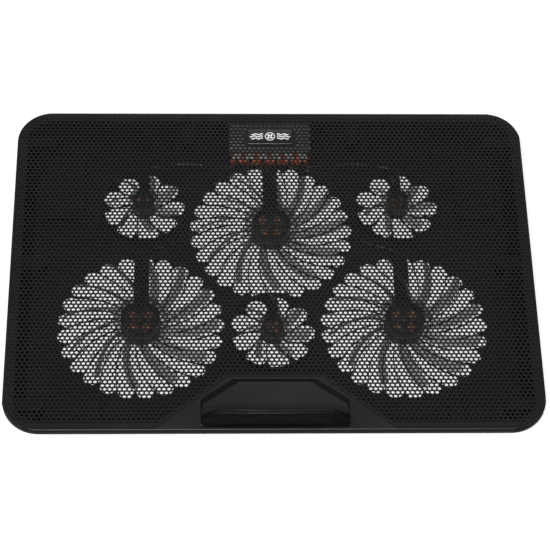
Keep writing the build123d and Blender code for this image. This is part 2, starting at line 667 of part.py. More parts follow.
def badge_pegs():
    return (-BADGE_W / 4, BADGE_W / 4)


def nameplate():
    """Blank rounded badge that stands on the cover and comes up through the sheet."""
    plate_top = DECK_Z + BADGE_PROUD
    badge = Pos(0, BADGE_Y, COVER_TOP) * extrude(RectangleRounded(BADGE_W, BADGE_D, 1.2), plate_top - COVER_TOP)
    badge = chamfer(badge.edges().filter_by_position(Axis.Z, plate_top, plate_top), 0.35)
    for x in badge_pegs():
        badge += rod(BADGE_PEG_R, COVER_TOP - COVER_T, COVER_TOP, x, BADGE_Y)
    return badge


def control_board():
    board = block(-BOARD_W / 2, BOARD_W / 2, BOARD_FRONT_Y, BOARD_REAR_Y, BOARD_Z, BOARD_TOP)
    for x, y in board_posts():
        board -= rod(1.1, BOARD_Z - CUT, BOARD_TOP + CUT, x, y)
    return board


def plug_x():
    return [(k - 2.5) * PLUG_PITCH for k in range(6)]


def fan_sockets():
    """Six two-pin sockets along the front edge of the board, each open towards its lead."""
    y0 = BOARD_FRONT_Y + PLUG_SETBACK
    sockets = []
    for x in plug_x():
        body = block(x - PLUG_W / 2, x + PLUG_W / 2, y0, y0 + PLUG_D, BOARD_TOP, BOARD_TOP + PLUG_H)
        body -= Pos(x, y0, BOARD_TOP + PLUG_H / 2) * Rot(90, 0, 0) * Cylinder(LEAD_R + 0.05, 3.0)
        sockets.append(body)
    return Compound(sockets)


def usb_sockets():
    """Two metal shells flush with the rear wall, each with its contact tongue."""
    sockets = []
    for x in USB_X:
        y0, y1 = BAY_REAR_Y - USB_D, BAY_REAR_Y
        shell = block(x - USB_W / 2, x + USB_W / 2, y0, y1, BOARD_TOP, BOARD_TOP + USB_H)
        shell -= block(x - USB_W / 2 + USB_SHELL, x + USB_W / 2 - USB_SHELL, y0 + 1.0, y1 + CUT,
                       BOARD_TOP + USB_SHELL, BOARD_TOP + USB_H - USB_SHELL)
        tongue_z = BOARD_TOP + USB_H - USB_SHELL - 0.7 - USB_TONGUE_T
        shell += block(x - USB_W / 2 + 1.2, x + USB_W / 2 - 1.2, y0 + 0.5, y1 - 2.5, tongue_z, tongue_z + USB_TONGUE_T)
        sockets.append(shell)
    return Compound(sockets)


def speed_control():
    """Base of the rotary speed control, on the board, with the pin the wheel turns on."""
    z0 = BOARD_TOP
    z1 = z0 + DIAL_BASE_H
    base = rod(DIAL_BASE_R, z0, z1 - 0.2, WHEEL_X, WHEEL_Y)
    return base + rod(WHEEL_SHAFT_R, z0, z1 + WHEEL_T + 0.4, WHEEL_X, WHEEL_Y)


def speed_wheel():
    """Ridged thumbwheel that shows through the rear wall."""
    z0 = BOARD_TOP + DIAL_BASE_H
    wheel = rod(WHEEL_R, z0, z0 + WHEEL_T, WHEEL_X, WHEEL_Y)
    wheel -= rod(WHEEL_SHAFT_R + RUN, z0 - CUT, z0 + WHEEL_T + CUT, WHEEL_X, WHEEL_Y)
    for k in range(WHEEL_RIDGES):
        gx, gy = at(WHEEL_R + 0.25, k * 360.0 / WHEEL_RIDGES)
        wheel -= rod(0.55, z0 - CUT, z0 + WHEEL_T + CUT, WHEEL_X + gx, WHEEL_Y + gy)
    return wheel


# ================================================================ legs, feet, screws, leads
def leg(side):
    """Fold-out rear leg, folded flat: hinge barrel with stub pins, plate and a seat for its pad."""
    x0, x1 = side * LEG_X - LEG_W / 2, side * LEG_X + LEG_W / 2
    tip_y = LEG_AXIS_Y - LEG_L
    body = block(x0, x1, tip_y + LEG_PAD_L, LEG_AXIS_Y, LEG_AXIS_Z - LEG_T / 2, LEG_AXIS_Z + LEG_T / 2)
    body -= block(x0 + 5.0, x1 - 5.0, tip_y + LEG_PAD_L + 6.0, LEG_AXIS_Y - 8.0, LEG_AXIS_Z - LEG_T / 2 + 1.6,
                  LEG_AXIS_Z + LEG_T / 2 + CUT)
    body += rod_x(LEG_T / 2, x0, x1, LEG_AXIS_Y, LEG_AXIS_Z)
    return body + rod_x(LEG_PIN_R, x0 - LEG_PIN_L, x1 + LEG_PIN_L, LEG_AXIS_Y, LEG_AXIS_Z)


def leg_pad(side):
    tip_y = LEG_AXIS_Y - LEG_L
    pad = block(side * LEG_X - LEG_W / 2, side * LEG_X + LEG_W / 2, tip_y, tip_y + LEG_PAD_L,
                LEG_AXIS_Z - LEG_T / 2, LEG_AXIS_Z + LEG_T / 2)
    return fillet(pad.edges().filter_by(Axis.X).filter_by_position(Axis.Y, tip_y, tip_y), 1.6)


def rubber_feet():
    feet = []
    for x, y in FEET:
        foot = rod(FOOT_R, 0, FOOT_H, x, y)
        feet.append(fillet(foot.edges().filter_by_position(Axis.Z, 0, 0), 0.8))
    return Compound(feet)


def screw(x, y, z, length, r, head_r, head_h):
    """Round-headed screw pointing up, head seated at height z."""
    body = rod(r, z, z + length, x, y) + rod(head_r, z - head_h, z, x, y)
    return body - (rod(head_r * 0.4, z - head_h - CUT, z - head_h / 2, x, y))


def case_screws():
    z = FOOT_H + SCREW_HEAD_DEPTH
    return Compound([screw(x, y, z, SCREW_L - SCREW_HEAD_DEPTH, SCREW_R, SCREW_HEAD_R, SCREW_HEAD_H)
                     for x, y, _ in BOSSES])


def board_screws():
    """Two small screws through the board into its posts, heads up."""
    made = []
    for x, y in board_posts():
        made.append(rod(0.85, BOARD_TOP - BOARD_T - 1.8, BOARD_TOP, x, y) + rod(1.9, BOARD_TOP, BOARD_TOP + 1.1, x, y))
    return Compound(made)


def around(x, y, r, first, last, steps):
    """Points on an arc about (x, y), angles counter-clockwise from +X."""
    return [(x + at(r, first + (last - first) * k / steps)[0], y + at(r, first + (last - first) * k / steps)[1])
            for k in range(steps + 1)]


def lead_routes():
    """Centre lines of the six fan leads, from each motor to its socket, along the case floor."""
    z = FLOOR_Z + LEAD_R + 0.05
    socket_z = BOARD_TOP + PLUG_H / 2
    socket_y = BOARD_FRONT_Y + PLUG_SETBACK + 1.4
    rise_y = BOARD_FRONT_Y - LEAD_RISE_GAP
    step = 2 * LEAD_R + 0.3
    xs = plug_x()
    inner_lane = LARGE.intake_r + 1.9
    outer_lane = inner_lane + step + 0.5
    gate_y = FRONT_FAN_Y + LARGE.intake_r + 4.5
    collar = collar_r(SMALL) + SMALL.collar_t
    lanes = {}
    for side, first in ((-1, 0), (1, 5)):
        word = "left" if side < 0 else "right"
        lanes[f"rear_{word}"] = (xs[first], [
            (side * (CORNER_FAN_X - 1.0), CORNER_FAN_Y + collar + 3.8),
            (side * 66.0, rise_y + 3.3), (side * 40.0, rise_y + 0.8)])
        middle = around(0.0, REAR_FAN_Y, outer_lane, 180.0, 128.0, 4)
        lanes[f"front_{word}"] = (xs[first - side], [
            (side * (FRONT_FAN_X - 1.0), gate_y), (side * 67.5, gate_y + 9.0)]
            + [(-side * px, py) for px, py in middle]
            + [(side * 34.0, rise_y - 2 * step - 0.4), (xs[first], rise_y - step)])
    hug = around(0.0, MIDDLE_FAN_Y, collar + LEAD_LANE / 2, 90.0, 119.0, 2)
    hug += [(-30.0, -19.5)] + around(0.0, REAR_FAN_Y, inner_lane, 224.0, 126.0, 7)
    lanes["front_center"] = (xs[2], hug + [(xs[0], rise_y - 2 * step)])
    lanes["rear_center"] = (xs[3], [(0.0, rise_y - 13.0)])
    routes = {}
    for name, (x, lane) in lanes.items():
        fan, fan_x, fan_y, _ = FANS[name]
        points = [(fan_x, fan_y + fan.board_r + 1.2, z)]
        points += [(px, py, z) for px, py in lane]
        points += [(x, rise_y, z), (x, rise_y, socket_z), (x, socket_y, socket_z)]
        routes[name] = points
    return routes


def lead_path(points):
    """Straight runs joined by tangent arcs that take up to LEAD_BEND of each run."""
    spots = [Vector(*p) for p in points]
    edges = []
    start = spots[0]
    for a, b, c in zip(spots, spots[1:], spots[2:]):
        into = (b - a).normalized()
        out = (c - b).normalized()
        half_turn = math.radians(into.get_angle(out)) / 2
        run = min(0.45 * min((b - a).length, (c - b).length), LEAD_BEND)
        radius = run / math.tan(half_turn)
        middle = b + (out - into).normalized() * (radius / math.cos(half_turn) - radius)
        edges += [Line(start, b - into * run), ThreePointArc(b - into * run, middle, b + out * run)]
        start = b + out * run
    edges.append(Line(start, spots[-1]))
    return Wire(edges)


def swept_lead(points):
    path = lead_path(points)
    return sweep(Plane(origin=path @ 0, z_dir=path % 0) * Circle(LEAD_R), path=path)


def fan_leads():
    leads = []
    for points in lead_routes().values():
        leads.append(swept_lead(points))
    return Compound(leads)


# ================================================================ write every piece
def main():
    os.makedirs("parts", exist_ok=True)
    save("top_mesh", top_mesh())
    save("upper_frame", upper_frame())
    save("bottom_case", bottom_case())
    save("laptop_stop", laptop_stop())
    save("stop_hinge_pins", stop_hinge_pins())

    for name, (fan, x, y, turn) in FANS.items():
        place = Pos(x, y, 0)
        turned = place * Rot(0, 0, turn)
        save(f"{name}_impeller", turned * impeller(fan))
        save(f"{name}_magnet_ring", place * magnet_ring(fan))
        save(f"{name}_shaft", place * shaft(fan))
        stator_turn = place * Rot(0, 0, 45)
        save(f"{name}_stator", stator_turn * stator(fan))
        save(f"{name}_coils", Compound([stator_turn * coil for coil in coils(fan)]))
        save(f"{name}_motor_board", place * motor_board(fan))
    save("bearing_sleeves", Compound([Pos(x, y, 0) * bearing_sleeve(fan) for fan, x, y, _ in FANS.values()]))

    save("control_cover", control_cover())
    save("nameplate", nameplate())
    save("control_board", control_board())
    save("fan_sockets", fan_sockets())
    save("usb_sockets", usb_sockets())
    save("speed_control", speed_control())
    save("speed_wheel", speed_wheel())
    save("fan_leads", fan_leads())

    for side, word in ((-1, "left"), (1, "right")):
        save(f"{word}_leg", leg(side))
        save(f"{word}_leg_pad", leg_pad(side))
    save("rubber_feet", rubber_feet())
    save("case_screws", case_screws())
    save("board_screws", board_screws())


main()
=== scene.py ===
import json
import math

import bmesh
import bpy
import numpy as np
from mathutils import Matrix, Vector
from mathutils.geometry import delaunay_2d_cdt

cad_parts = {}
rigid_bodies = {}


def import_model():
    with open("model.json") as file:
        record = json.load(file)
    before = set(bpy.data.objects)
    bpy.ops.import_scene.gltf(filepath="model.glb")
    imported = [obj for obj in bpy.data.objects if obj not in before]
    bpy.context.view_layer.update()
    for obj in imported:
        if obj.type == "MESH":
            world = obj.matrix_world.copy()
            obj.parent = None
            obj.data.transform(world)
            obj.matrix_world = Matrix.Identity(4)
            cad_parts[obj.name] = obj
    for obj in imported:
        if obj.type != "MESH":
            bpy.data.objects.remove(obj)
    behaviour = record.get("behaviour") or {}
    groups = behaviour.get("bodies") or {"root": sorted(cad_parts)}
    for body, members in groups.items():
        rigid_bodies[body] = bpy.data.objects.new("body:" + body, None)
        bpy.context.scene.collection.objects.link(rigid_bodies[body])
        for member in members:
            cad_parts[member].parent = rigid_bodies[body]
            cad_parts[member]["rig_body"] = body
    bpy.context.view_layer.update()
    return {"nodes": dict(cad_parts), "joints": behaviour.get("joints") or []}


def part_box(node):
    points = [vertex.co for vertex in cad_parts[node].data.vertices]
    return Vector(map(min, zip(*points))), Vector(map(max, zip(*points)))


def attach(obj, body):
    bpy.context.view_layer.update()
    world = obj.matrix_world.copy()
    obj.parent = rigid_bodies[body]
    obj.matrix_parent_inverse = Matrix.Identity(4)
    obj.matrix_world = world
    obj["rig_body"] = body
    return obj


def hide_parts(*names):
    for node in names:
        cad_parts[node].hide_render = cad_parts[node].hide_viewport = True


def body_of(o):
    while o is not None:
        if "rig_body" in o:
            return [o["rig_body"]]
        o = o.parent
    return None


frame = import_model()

MM = 0.001
NODES = frame["nodes"]
JOINTS = {joint["name"]: joint for joint in frame["joints"]}

# ------------------------------------------------------------------ the pad's own measures, in metres
WELD = 0.002 * MM         # corners of a CAD mesh nearer than this are one corner
DECK_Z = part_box("top_mesh")[1].z
SHEET_T = DECK_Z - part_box("top_mesh")[0].z
HOLE_R = 1.25 * MM
HOLE_PITCH = 3.445 * MM
HOLE_SIDES = 12
EDGE_LAND = 0.15 * MM     # least metal between a hole and the sheet's edge
CELL_LAND = 0.05 * MM     # least metal between a hole's hexagonal cell and the sheet's edge
SPLIT_X = 0.0             # the deck is made in four quarters that meet here
SPLIT_Y = 3.0 * MM

# A fan's sizes are in millimetres and its angles in degrees.
LARGE = dict(blades=12, tip_r=56.2, hub_r=19.0, cap_r=14.3, wall=1.4, sweep=24.0, pitch=52.0, blade_t=1.25,
             core_r=11.6, pole_w=3.0, core_t=3.5, coil_t=1.5, tube_r=3.2, yoke=1.6, turns=9)
SMALL = dict(blades=7, tip_r=27.4, hub_r=11.0, cap_r=8.1, wall=1.1, sweep=22.0, pitch=50.0, blade_t=1.05,
             core_r=6.4, pole_w=1.8, core_t=3.0, coil_t=0.9, tube_r=2.1, yoke=0.9, turns=7)
# Each fan's size, and the angle at which its first blade's root stands.
FANS = {
    "front_left": (LARGE, 4.0),
    "front_right": (LARGE, 19.0),
    "rear_center": (LARGE, 11.0),
    "rear_left": (SMALL, 8.0),
    "rear_right": (SMALL, 30.0),
    "front_center": (SMALL, 20.0),
}


def fan_centre(name):
    place = JOINTS[f"{name}_spin"]["pos_m"]
    return np.array([place[0], place[1], 0.0])


# ------------------------------------------------------------------ meshes from arrays
def mesh_from(name, verts, corners, totals):
    """A mesh from vertex rows, the faces' corners one after another, and how many corners each face has."""
    mesh = bpy.data.meshes.new(name)
    mesh.vertices.add(len(verts))
    mesh.vertices.foreach_set("co", np.ascontiguousarray(verts, dtype=np.float32).ravel())
    mesh.loops.add(len(corners))
    mesh.loops.foreach_set("vertex_index", np.ascontiguousarray(corners, dtype=np.int32))
    mesh.polygons.add(len(totals))
    starts = np.concatenate([[0], np.cumsum(totals)[:-1]])
    mesh.polygons.foreach_set("loop_start", starts.astype(np.int32))
    mesh.polygons.foreach_set("loop_total", np.asarray(totals, dtype=np.int32))
    mesh.update(calc_edges=True)
    mesh.validate()
    return mesh


def grid_faces(rows, columns, wrap_rows, wrap_columns, first=0):
    """Quads of a rows by columns grid of points, closed round in either direction."""
    i = np.arange(rows if wrap_rows else rows - 1)
    j = np.arange(columns if wrap_columns else columns - 1)
    i, j = [a.ravel() for a in np.meshgrid(i, j, indexing="ij")]
    i2 = (i + 1) % rows
    j2 = (j + 1) % columns
    quads = np.stack([i * columns + j, i2 * columns + j, i2 * columns + j2, i * columns + j2], axis=1)
    return quads + first


class Shell:
    """Collects grids and caps into one mesh."""

    def __init__(self):
        self.verts = []
        self.corners = []
        self.totals = []
        self.count = 0

    def add(self, verts, faces):
        """Adds vertex rows and faces, an array of equal faces or a list of faces."""
        for face in faces if isinstance(faces, list) else [faces]:
            face = np.atleast_2d(np.asarray(face))
            self.corners.append((face + self.count).ravel())
            self.totals.append(np.full(len(face), face.shape[1]))
        self.verts.append(np.asarray(verts, float).reshape(-1, 3))
        self.count += len(self.verts[-1])

    def tube(self, points, closed_rows=False):
        """A grid whose columns close round; its first and last rows are capped unless the rows close too."""
        rows, columns = points.shape[:2]
        faces = [grid_faces(rows, columns, closed_rows, True)]
        if not closed_rows:
            faces.append(np.arange(columns)[None, :])
            faces.append(np.arange(columns)[::-1][None, :] + (rows - 1) * columns)
        self.add(points.reshape(-1, 3), faces)

    def mesh(self, name):
        corners = np.concatenate(self.corners)
        return mesh_from(name, np.vstack(self.verts), corners, np.concatenate(self.totals))


def place(mesh, name, body, slot, material, replaced=(), crease=35.0):
    """Puts a finished mesh into the scene on a body, smooth but for edges sharper than crease degrees."""
    piece = bpy.data.objects.new(name, mesh)
    bpy.context.scene.collection.objects.link(piece)
    mesh.materials.clear()
    mesh.materials.append(material)
    mesh.shade_smooth()
    mesh.set_sharp_from_angle(angle=math.radians(crease))
    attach(piece, body)
    if replaced:
        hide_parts(*replaced)
    return piece


def outward(mesh):
    """Turns every closed shell's faces outwards."""
    bm = bmesh.new()
    bm.from_mesh(mesh)
    bmesh.ops.recalc_face_normals(bm, faces=bm.faces)
    bm.to_mesh(mesh)
    bm.free()
    return mesh


def softened(node, width, slot, material, name=None, crease=35.0, steps=2):
    """A CAD piece's shape with its edges broken: flat areas are joined, each edge over 30 degrees is
    bevelled, and what the bevel pushes out is brought back to the piece's own box."""
    mesh = NODES[node].data.copy()
    bm = bmesh.new()
    bm.from_mesh(mesh)
    bmesh.ops.remove_doubles(bm, verts=bm.verts, dist=WELD)
    bmesh.ops.dissolve_limit(bm, angle_limit=math.radians(0.4), verts=bm.verts, edges=bm.edges)
    bm.to_mesh(mesh)
    bm.free()
    draft = bpy.data.objects.new("draft", mesh)
    bpy.context.scene.collection.objects.link(draft)
    bevel = draft.modifiers.new("edges", "BEVEL")
    bevel.width = width
    bevel.segments = steps
    bevel.limit_method = "ANGLE"
    bevel.angle_limit = math.radians(30)
    bevel.use_clamp_overlap = False
    view = bpy.context.evaluated_depsgraph_get()
    made = bpy.data.meshes.new_from_object(draft.evaluated_get(view))
    bpy.data.objects.remove(draft)
    spots = np.empty(len(made.vertices) * 3, dtype=np.float32)
    made.vertices.foreach_get("co", spots)
    low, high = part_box(node)
    made.vertices.foreach_set("co", np.clip(spots.reshape(-1, 3), low, high).ravel())
    body = body_of(NODES[node])[0]
    return place(made, name or f"{node}_finished", body, slot, material, [node], crease)


# ------------------------------------------------------------------ shader parts
def group(name, inputs, outputs):
    """An empty node group with its sockets, and its input and output nodes."""
    tree = bpy.data.node_groups.new(name, "ShaderNodeTree")
    for label, kind, value in inputs:
        socket = tree.interface.new_socket(label, in_out="INPUT", socket_type=kind)
        if value is not None:
            socket.default_value = value
    for label, kind in outputs:
        tree.interface.new_socket(label, in_out="OUTPUT", socket_type=kind)
    return tree, tree.nodes.new("NodeGroupInput"), tree.nodes.new("NodeGroupOutput")


def node(tree, kind, links=(), **values):
    """Adds a node, sets its properties and sockets, and links sockets given as (socket name, source)."""
    made = tree.nodes.new(kind)
    for key, value in values.items():
        if hasattr(made, key):
            setattr(made, key, value)
        else:
            made.inputs[key.replace("_", " ")].default_value = value
    for key, source in links:
        tree.links.new(source, made.inputs[key])
    return made


def build_groups():
    """Shared surface effects: moulded grain, rubbed and dusty colour, and brushed lines."""
    made = {}
    noise = "ShaderNodeTexNoise"
    math_node = "ShaderNodeMath"

    tree, into, out = group("moulded_grain", [("Coordinates", "NodeSocketVector", None),
                                              ("Grain Size", "NodeSocketFloat", 0.0004),
                                              ("Depth", "NodeSocketFloat", 0.2)],
                            [("Normal", "NodeSocketVector"), ("Mottle", "NodeSocketFloat")])
    rate = node(tree, math_node, [(1, into.outputs["Grain Size"])], operation="DIVIDE")
    rate.inputs[0].default_value = 1.0
    scaled = [("Vector", into.outputs["Coordinates"]), ("Scale", rate.outputs[0])]
    fine = node(tree, noise, scaled, Detail=3.0, Roughness=0.6)
    cells = node(tree, "ShaderNodeTexVoronoi", scaled)
    patterns = [(0, fine.outputs["Fac"]), (1, cells.outputs["Distance"])]
    both = node(tree, math_node, patterns, operation="MULTIPLY")
    bump = node(tree, "ShaderNodeBump", [("Height", both.outputs[0]), ("Strength", into.outputs["Depth"])],
                Distance=0.0001)
    slow = node(tree, noise, scaled[:1], Scale=38.0, Detail=4.0, Roughness=0.62)
    tree.links.new(bump.outputs[0], out.inputs["Normal"])
    tree.links.new(slow.outputs["Fac"], out.inputs["Mottle"])
    made["grain"] = tree

    tree, into, out = group("rubbed_and_dusty", [("Coordinates", "NodeSocketVector", None),
                                                 ("Colour", "NodeSocketColor", (0.02, 0.02, 0.02, 1)),
                                                 ("Rubbed Colour", "NodeSocketColor", (0.06, 0.06, 0.06, 1)),
                                                 ("Dust", "NodeSocketFloat", 0.1),
                                                 ("Roughness", "NodeSocketFloat", 0.4)],
                            [("Colour", "NodeSocketColor"), ("Roughness", "NodeSocketFloat")])
    spread = [("Vector", into.outputs["Coordinates"])]
    patches = node(tree, noise, spread, Scale=22.0, Detail=5.0, Roughness=0.7)
    specks = node(tree, noise, spread, Scale=900.0, Detail=2.0)
    speck_mask = node(tree, "ShaderNodeMapRange", [("Value", specks.outputs["Fac"])], clamp=True)
    speck_mask.inputs["From Min"].default_value = 0.62
    speck_mask.inputs["From Max"].default_value = 0.78
    facing = node(tree, "ShaderNodeNewGeometry")
    split = node(tree, "ShaderNodeSeparateXYZ", [(0, facing.outputs["Normal"])])
    up = node(tree, math_node, [(0, split.outputs["Z"])], operation="MAXIMUM")
    up.inputs[1].default_value = 0.0
    settled = node(tree, math_node, [(0, speck_mask.outputs[0]), (1, up.outputs[0])], operation="MULTIPLY")
    dust = node(tree, math_node, [(0, settled.outputs[0]), (1, into.outputs["Dust"])], operation="MULTIPLY")
    base = node(tree, "ShaderNodeMix", data_type="RGBA")
    tree.links.new(patches.outputs["Fac"], base.inputs["Factor"])
    tree.links.new(into.outputs["Colour"], base.inputs["A"])
    tree.links.new(into.outputs["Rubbed Colour"], base.inputs["B"])
    dusty = node(tree, "ShaderNodeMix", data_type="RGBA")
    dusty.inputs["B"].default_value = (0.35, 0.34, 0.33, 1)
    tree.links.new(dust.outputs[0], dusty.inputs["Factor"])
    tree.links.new(base.outputs["Result"], dusty.inputs["A"])
    swing = node(tree, "ShaderNodeMapRange", [("Value", patches.outputs["Fac"])])
    swing.inputs["To Min"].default_value = -0.07
    swing.inputs["To Max"].default_value = 0.09
    varied = node(tree, math_node, [(0, swing.outputs[0]), (1, into.outputs["Roughness"])], operation="ADD")
    dulled = [(0, varied.outputs[0]), (1, dust.outputs[0])]
    duller = node(tree, math_node, dulled, operation="ADD", use_clamp=True)
    tree.links.new(dusty.outputs["Result"], out.inputs["Colour"])
    tree.links.new(duller.outputs[0], out.inputs["Roughness"])
    made["dusty"] = tree

    tree, into, out = group("drawn_lines", [("Coordinates", "NodeSocketVector", None),
                                            ("Stretch", "NodeSocketVector", (1.0, 1.0, 1.0)),
                                            ("Depth", "NodeSocketFloat", 0.2)],
                            [("Normal", "NodeSocketVector"), ("Streak", "NodeSocketFloat")])
    both = [(0, into.outputs["Coordinates"]), (1, into.outputs["Stretch"])]
    pulled = node(tree, "ShaderNodeVectorMath", both, operation="MULTIPLY")
    lines = node(tree, noise, [("Vector", pulled.outputs[0])], Scale=1.0, Detail=4.0, Roughness=0.7)
    height = [("Height", lines.outputs["Fac"]), ("Strength", into.outputs["Depth"])]
    bump = node(tree, "ShaderNodeBump", height, Distance=0.00005)
    tree.links.new(bump.outputs[0], out.inputs["Normal"])
    tree.links.new(lines.outputs["Fac"], out.inputs["Streak"])
    made["lines"] = tree
    return made


GROUPS = build_groups()


def blank_material(name):
    """A new material, with its node tree, its Principled shader and the object coordinates."""
    material = bpy.data.materials.new(name)
    material.use_nodes = True
    tree = material.node_tree
    shader = tree.nodes["Principled BSDF"]
    where = tree.nodes.new("ShaderNodeTexCoord")
    return material, tree, shader, where.outputs["Object"]


def use(tree, name, where, **values):
    """Places a shared group, fed with the coordinates and its own values."""
    made = tree.nodes.new("ShaderNodeGroup")
    made.node_tree = GROUPS[name]
    tree.links.new(where, made.inputs["Coordinates"])
    for key, value in values.items():
        made.inputs[key.replace("_", " ")].default_value = value
    return made


def moulded(name, colour, rubbed, roughness, grain=0.0004, depth=0.25, dust=0.05, specular=0.5, side=None,
            coat=0.0):
    """A moulded or painted finish: mottled colour, grain and settled dust. Where side is given, faces that
    don't look up shine by that much instead of by specular."""
    material, tree, shader, where = blank_material(name)
    surface = use(tree, "dusty", where, Colour=(*colour, 1), Rubbed_Colour=(*rubbed, 1), Dust=dust,
                  Roughness=roughness)
    skin = use(tree, "grain", where, Grain_Size=grain, Depth=depth)
    tree.links.new(surface.outputs["Colour"], shader.inputs["Base Color"])
    tree.links.new(surface.outputs["Roughness"], shader.inputs["Roughness"])
    tree.links.new(skin.outputs["Normal"], shader.inputs["Normal"])
    shader.inputs["Specular IOR Level"].default_value = specular
    if side is not None:
        facing = node(tree, "ShaderNodeNewGeometry")
        split = node(tree, "ShaderNodeSeparateXYZ", [(0, facing.outputs["Normal"])])
        shine = node(tree, "ShaderNodeMapRange", [("Value", split.outputs["Z"])], clamp=True)
        shine.inputs["From Min"].default_value = 0.80
        shine.inputs["From Max"].default_value = 0.97
        shine.inputs["To Min"].default_value = side
        shine.inputs["To Max"].default_value = specular
        tree.links.new(shine.outputs[0], shader.inputs["Specular IOR Level"])
    shader.inputs["Coat Weight"].default_value = coat
    shader.inputs["Coat Roughness"].default_value = 0.2
    return material


def drawn_metal(name, colour, dark, roughness, stretch, depth=0.25, metallic=1.0):
    """Metal with fine drawn or ground lines that vary its colour and gloss."""
    material, tree, shader, where = blank_material(name)
    skin = use(tree, "lines", where, Stretch=stretch, Depth=depth)
    tone = node(tree, "ShaderNodeMix", data_type="RGBA")
    tone.inputs["A"].default_value = (*dark, 1)
    tone.inputs["B"].default_value = (*colour, 1)
    tree.links.new(skin.outputs["Streak"], tone.inputs["Factor"])
    gloss = node(tree, "ShaderNodeMapRange", [("Value", skin.outputs["Streak"])])
    gloss.inputs["To Min"].default_value = roughness - 0.08
    gloss.inputs["To Max"].default_value = roughness + 0.12
    tree.links.new(tone.outputs["Result"], shader.inputs["Base Color"])
    tree.links.new(gloss.outputs[0], shader.inputs["Roughness"])
    tree.links.new(skin.outputs["Normal"], shader.inputs["Normal"])
    shader.inputs["Metallic"].default_value = metallic
    return material


def clear_plastic(name, thin, thick, dark, light):
    """Smoky see-through plastic: thin where faced, denser towards its edges, with faint flow lines."""
    material, tree, shader, where = blank_material(name)
    flow = node(tree, "ShaderNodeTexNoise", [("Vector", where)], Scale=60.0, Detail=3.0, Roughness=0.55)
    tint = node(tree, "ShaderNodeMix", data_type="RGBA")
    tint.inputs["A"].default_value = (*dark, 1)
    tint.inputs["B"].default_value = (*light, 1)
    tree.links.new(flow.outputs["Fac"], tint.inputs["Factor"])
    tree.links.new(tint.outputs["Result"], shader.inputs["Base Color"])
    edge = node(tree, "ShaderNodeLayerWeight", Blend=0.3)
    dense = node(tree, "ShaderNodeMapRange", [("Value", edge.outputs["Facing"])])
    dense.inputs["To Min"].default_value = thin
    dense.inputs["To Max"].default_value = thick
    tree.links.new(dense.outputs[0], shader.inputs["Alpha"])
    ripple = node(tree, "ShaderNodeBump", [("Height", flow.outputs["Fac"])], Strength=0.12, Distance=0.0004)
    tree.links.new(ripple.outputs[0], shader.inputs["Normal"])
    gloss = node(tree, "ShaderNodeMapRange", [("Value", flow.outputs["Fac"])])
    gloss.inputs["To Min"].default_value = 0.16
    gloss.inputs["To Max"].default_value = 0.34
    tree.links.new(gloss.outputs[0], shader.inputs["Roughness"])
    shader.inputs["IOR"].default_value = 1.5
    return material


def circuit_lacquer(name, board, trace, scale):
    """Lacquered board: copper tracks under the colour as slightly raised, lighter bands, with tinned dots."""
    material, tree, shader, where = blank_material(name)
    tracks = node(tree, "ShaderNodeTexVoronoi", [("Vector", where)], feature="DISTANCE_TO_EDGE",
                  distance="CHEBYCHEV", Scale=scale)
    band = node(tree, "ShaderNodeMapRange", [("Value", tracks.outputs["Distance"])], clamp=True)
    band.inputs["From Min"].default_value = 0.10
    band.inputs["From Max"].default_value = 0.16
    dots = node(tree, "ShaderNodeTexVoronoi", [("Vector", where)], Scale=scale * 2.2)
    dot = node(tree, "ShaderNodeMapRange", [("Value", dots.outputs["Distance"])], clamp=True)
    dot.inputs["From Min"].default_value = 0.13
    dot.inputs["From Max"].default_value = 0.10
    tone = node(tree, "ShaderNodeMix", data_type="RGBA")
    tone.inputs["A"].default_value = (*trace, 1)
    tone.inputs["B"].default_value = (*board, 1)
    tree.links.new(band.outputs[0], tone.inputs["Factor"])
    tinned = node(tree, "ShaderNodeMix", data_type="RGBA")
    tinned.inputs["B"].default_value = (0.62, 0.60, 0.55, 1)
    tree.links.new(dot.outputs[0], tinned.inputs["Factor"])
    tree.links.new(tone.outputs["Result"], tinned.inputs["A"])
    tree.links.new(tinned.outputs["Result"], shader.inputs["Base Color"])
    relief = node(tree, "ShaderNodeBump", [("Height", band.outputs[0])], Strength=0.4, Distance=0.00004)
    relief.invert = True
    tree.links.new(relief.outputs[0], shader.inputs["Normal"])
    shine = node(tree, "ShaderNodeMapRange", [("Value", dots.outputs["Distance"])])
    shine.inputs["To Min"].default_value = 0.22
    shine.inputs["To Max"].default_value = 0.38
    tree.links.new(shine.outputs[0], shader.inputs["Roughness"])
    return material


def laminated_steel():
    """Stacked core sheets: dark seams every third of a millimetre up the stack."""
    material, tree, shader, where = blank_material("laminated_core_steel")
    split = node(tree, "ShaderNodeSeparateXYZ", [(0, where)])
    step = node(tree, "ShaderNodeMath", [(0, split.outputs["Z"])], operation="MULTIPLY")
    step.inputs[1].default_value = 1.0 / (0.35 * MM)
    part = node(tree, "ShaderNodeMath", [(0, step.outputs[0])], operation="FRACT")
    seam = node(tree, "ShaderNodeMapRange", [("Value", part.outputs[0])], clamp=True)
    seam.inputs["From Max"].default_value = 0.25
    tone = node(tree, "ShaderNodeMix", data_type="RGBA")
    tone.inputs["A"].default_value = (0.05, 0.05, 0.055, 1)
    tone.inputs["B"].default_value = (0.34, 0.34, 0.36, 1)
    tree.links.new(seam.outputs[0], tone.inputs["Factor"])
    relief = node(tree, "ShaderNodeBump", [("Height", seam.outputs[0])], Strength=0.6, Distance=0.00005)
    tree.links.new(tone.outputs["Result"], shader.inputs["Base Color"])
    tree.links.new(relief.outputs[0], shader.inputs["Normal"])
    shader.inputs["Metallic"].default_value = 0.9
    shader.inputs["Roughness"].default_value = 0.42
    return material


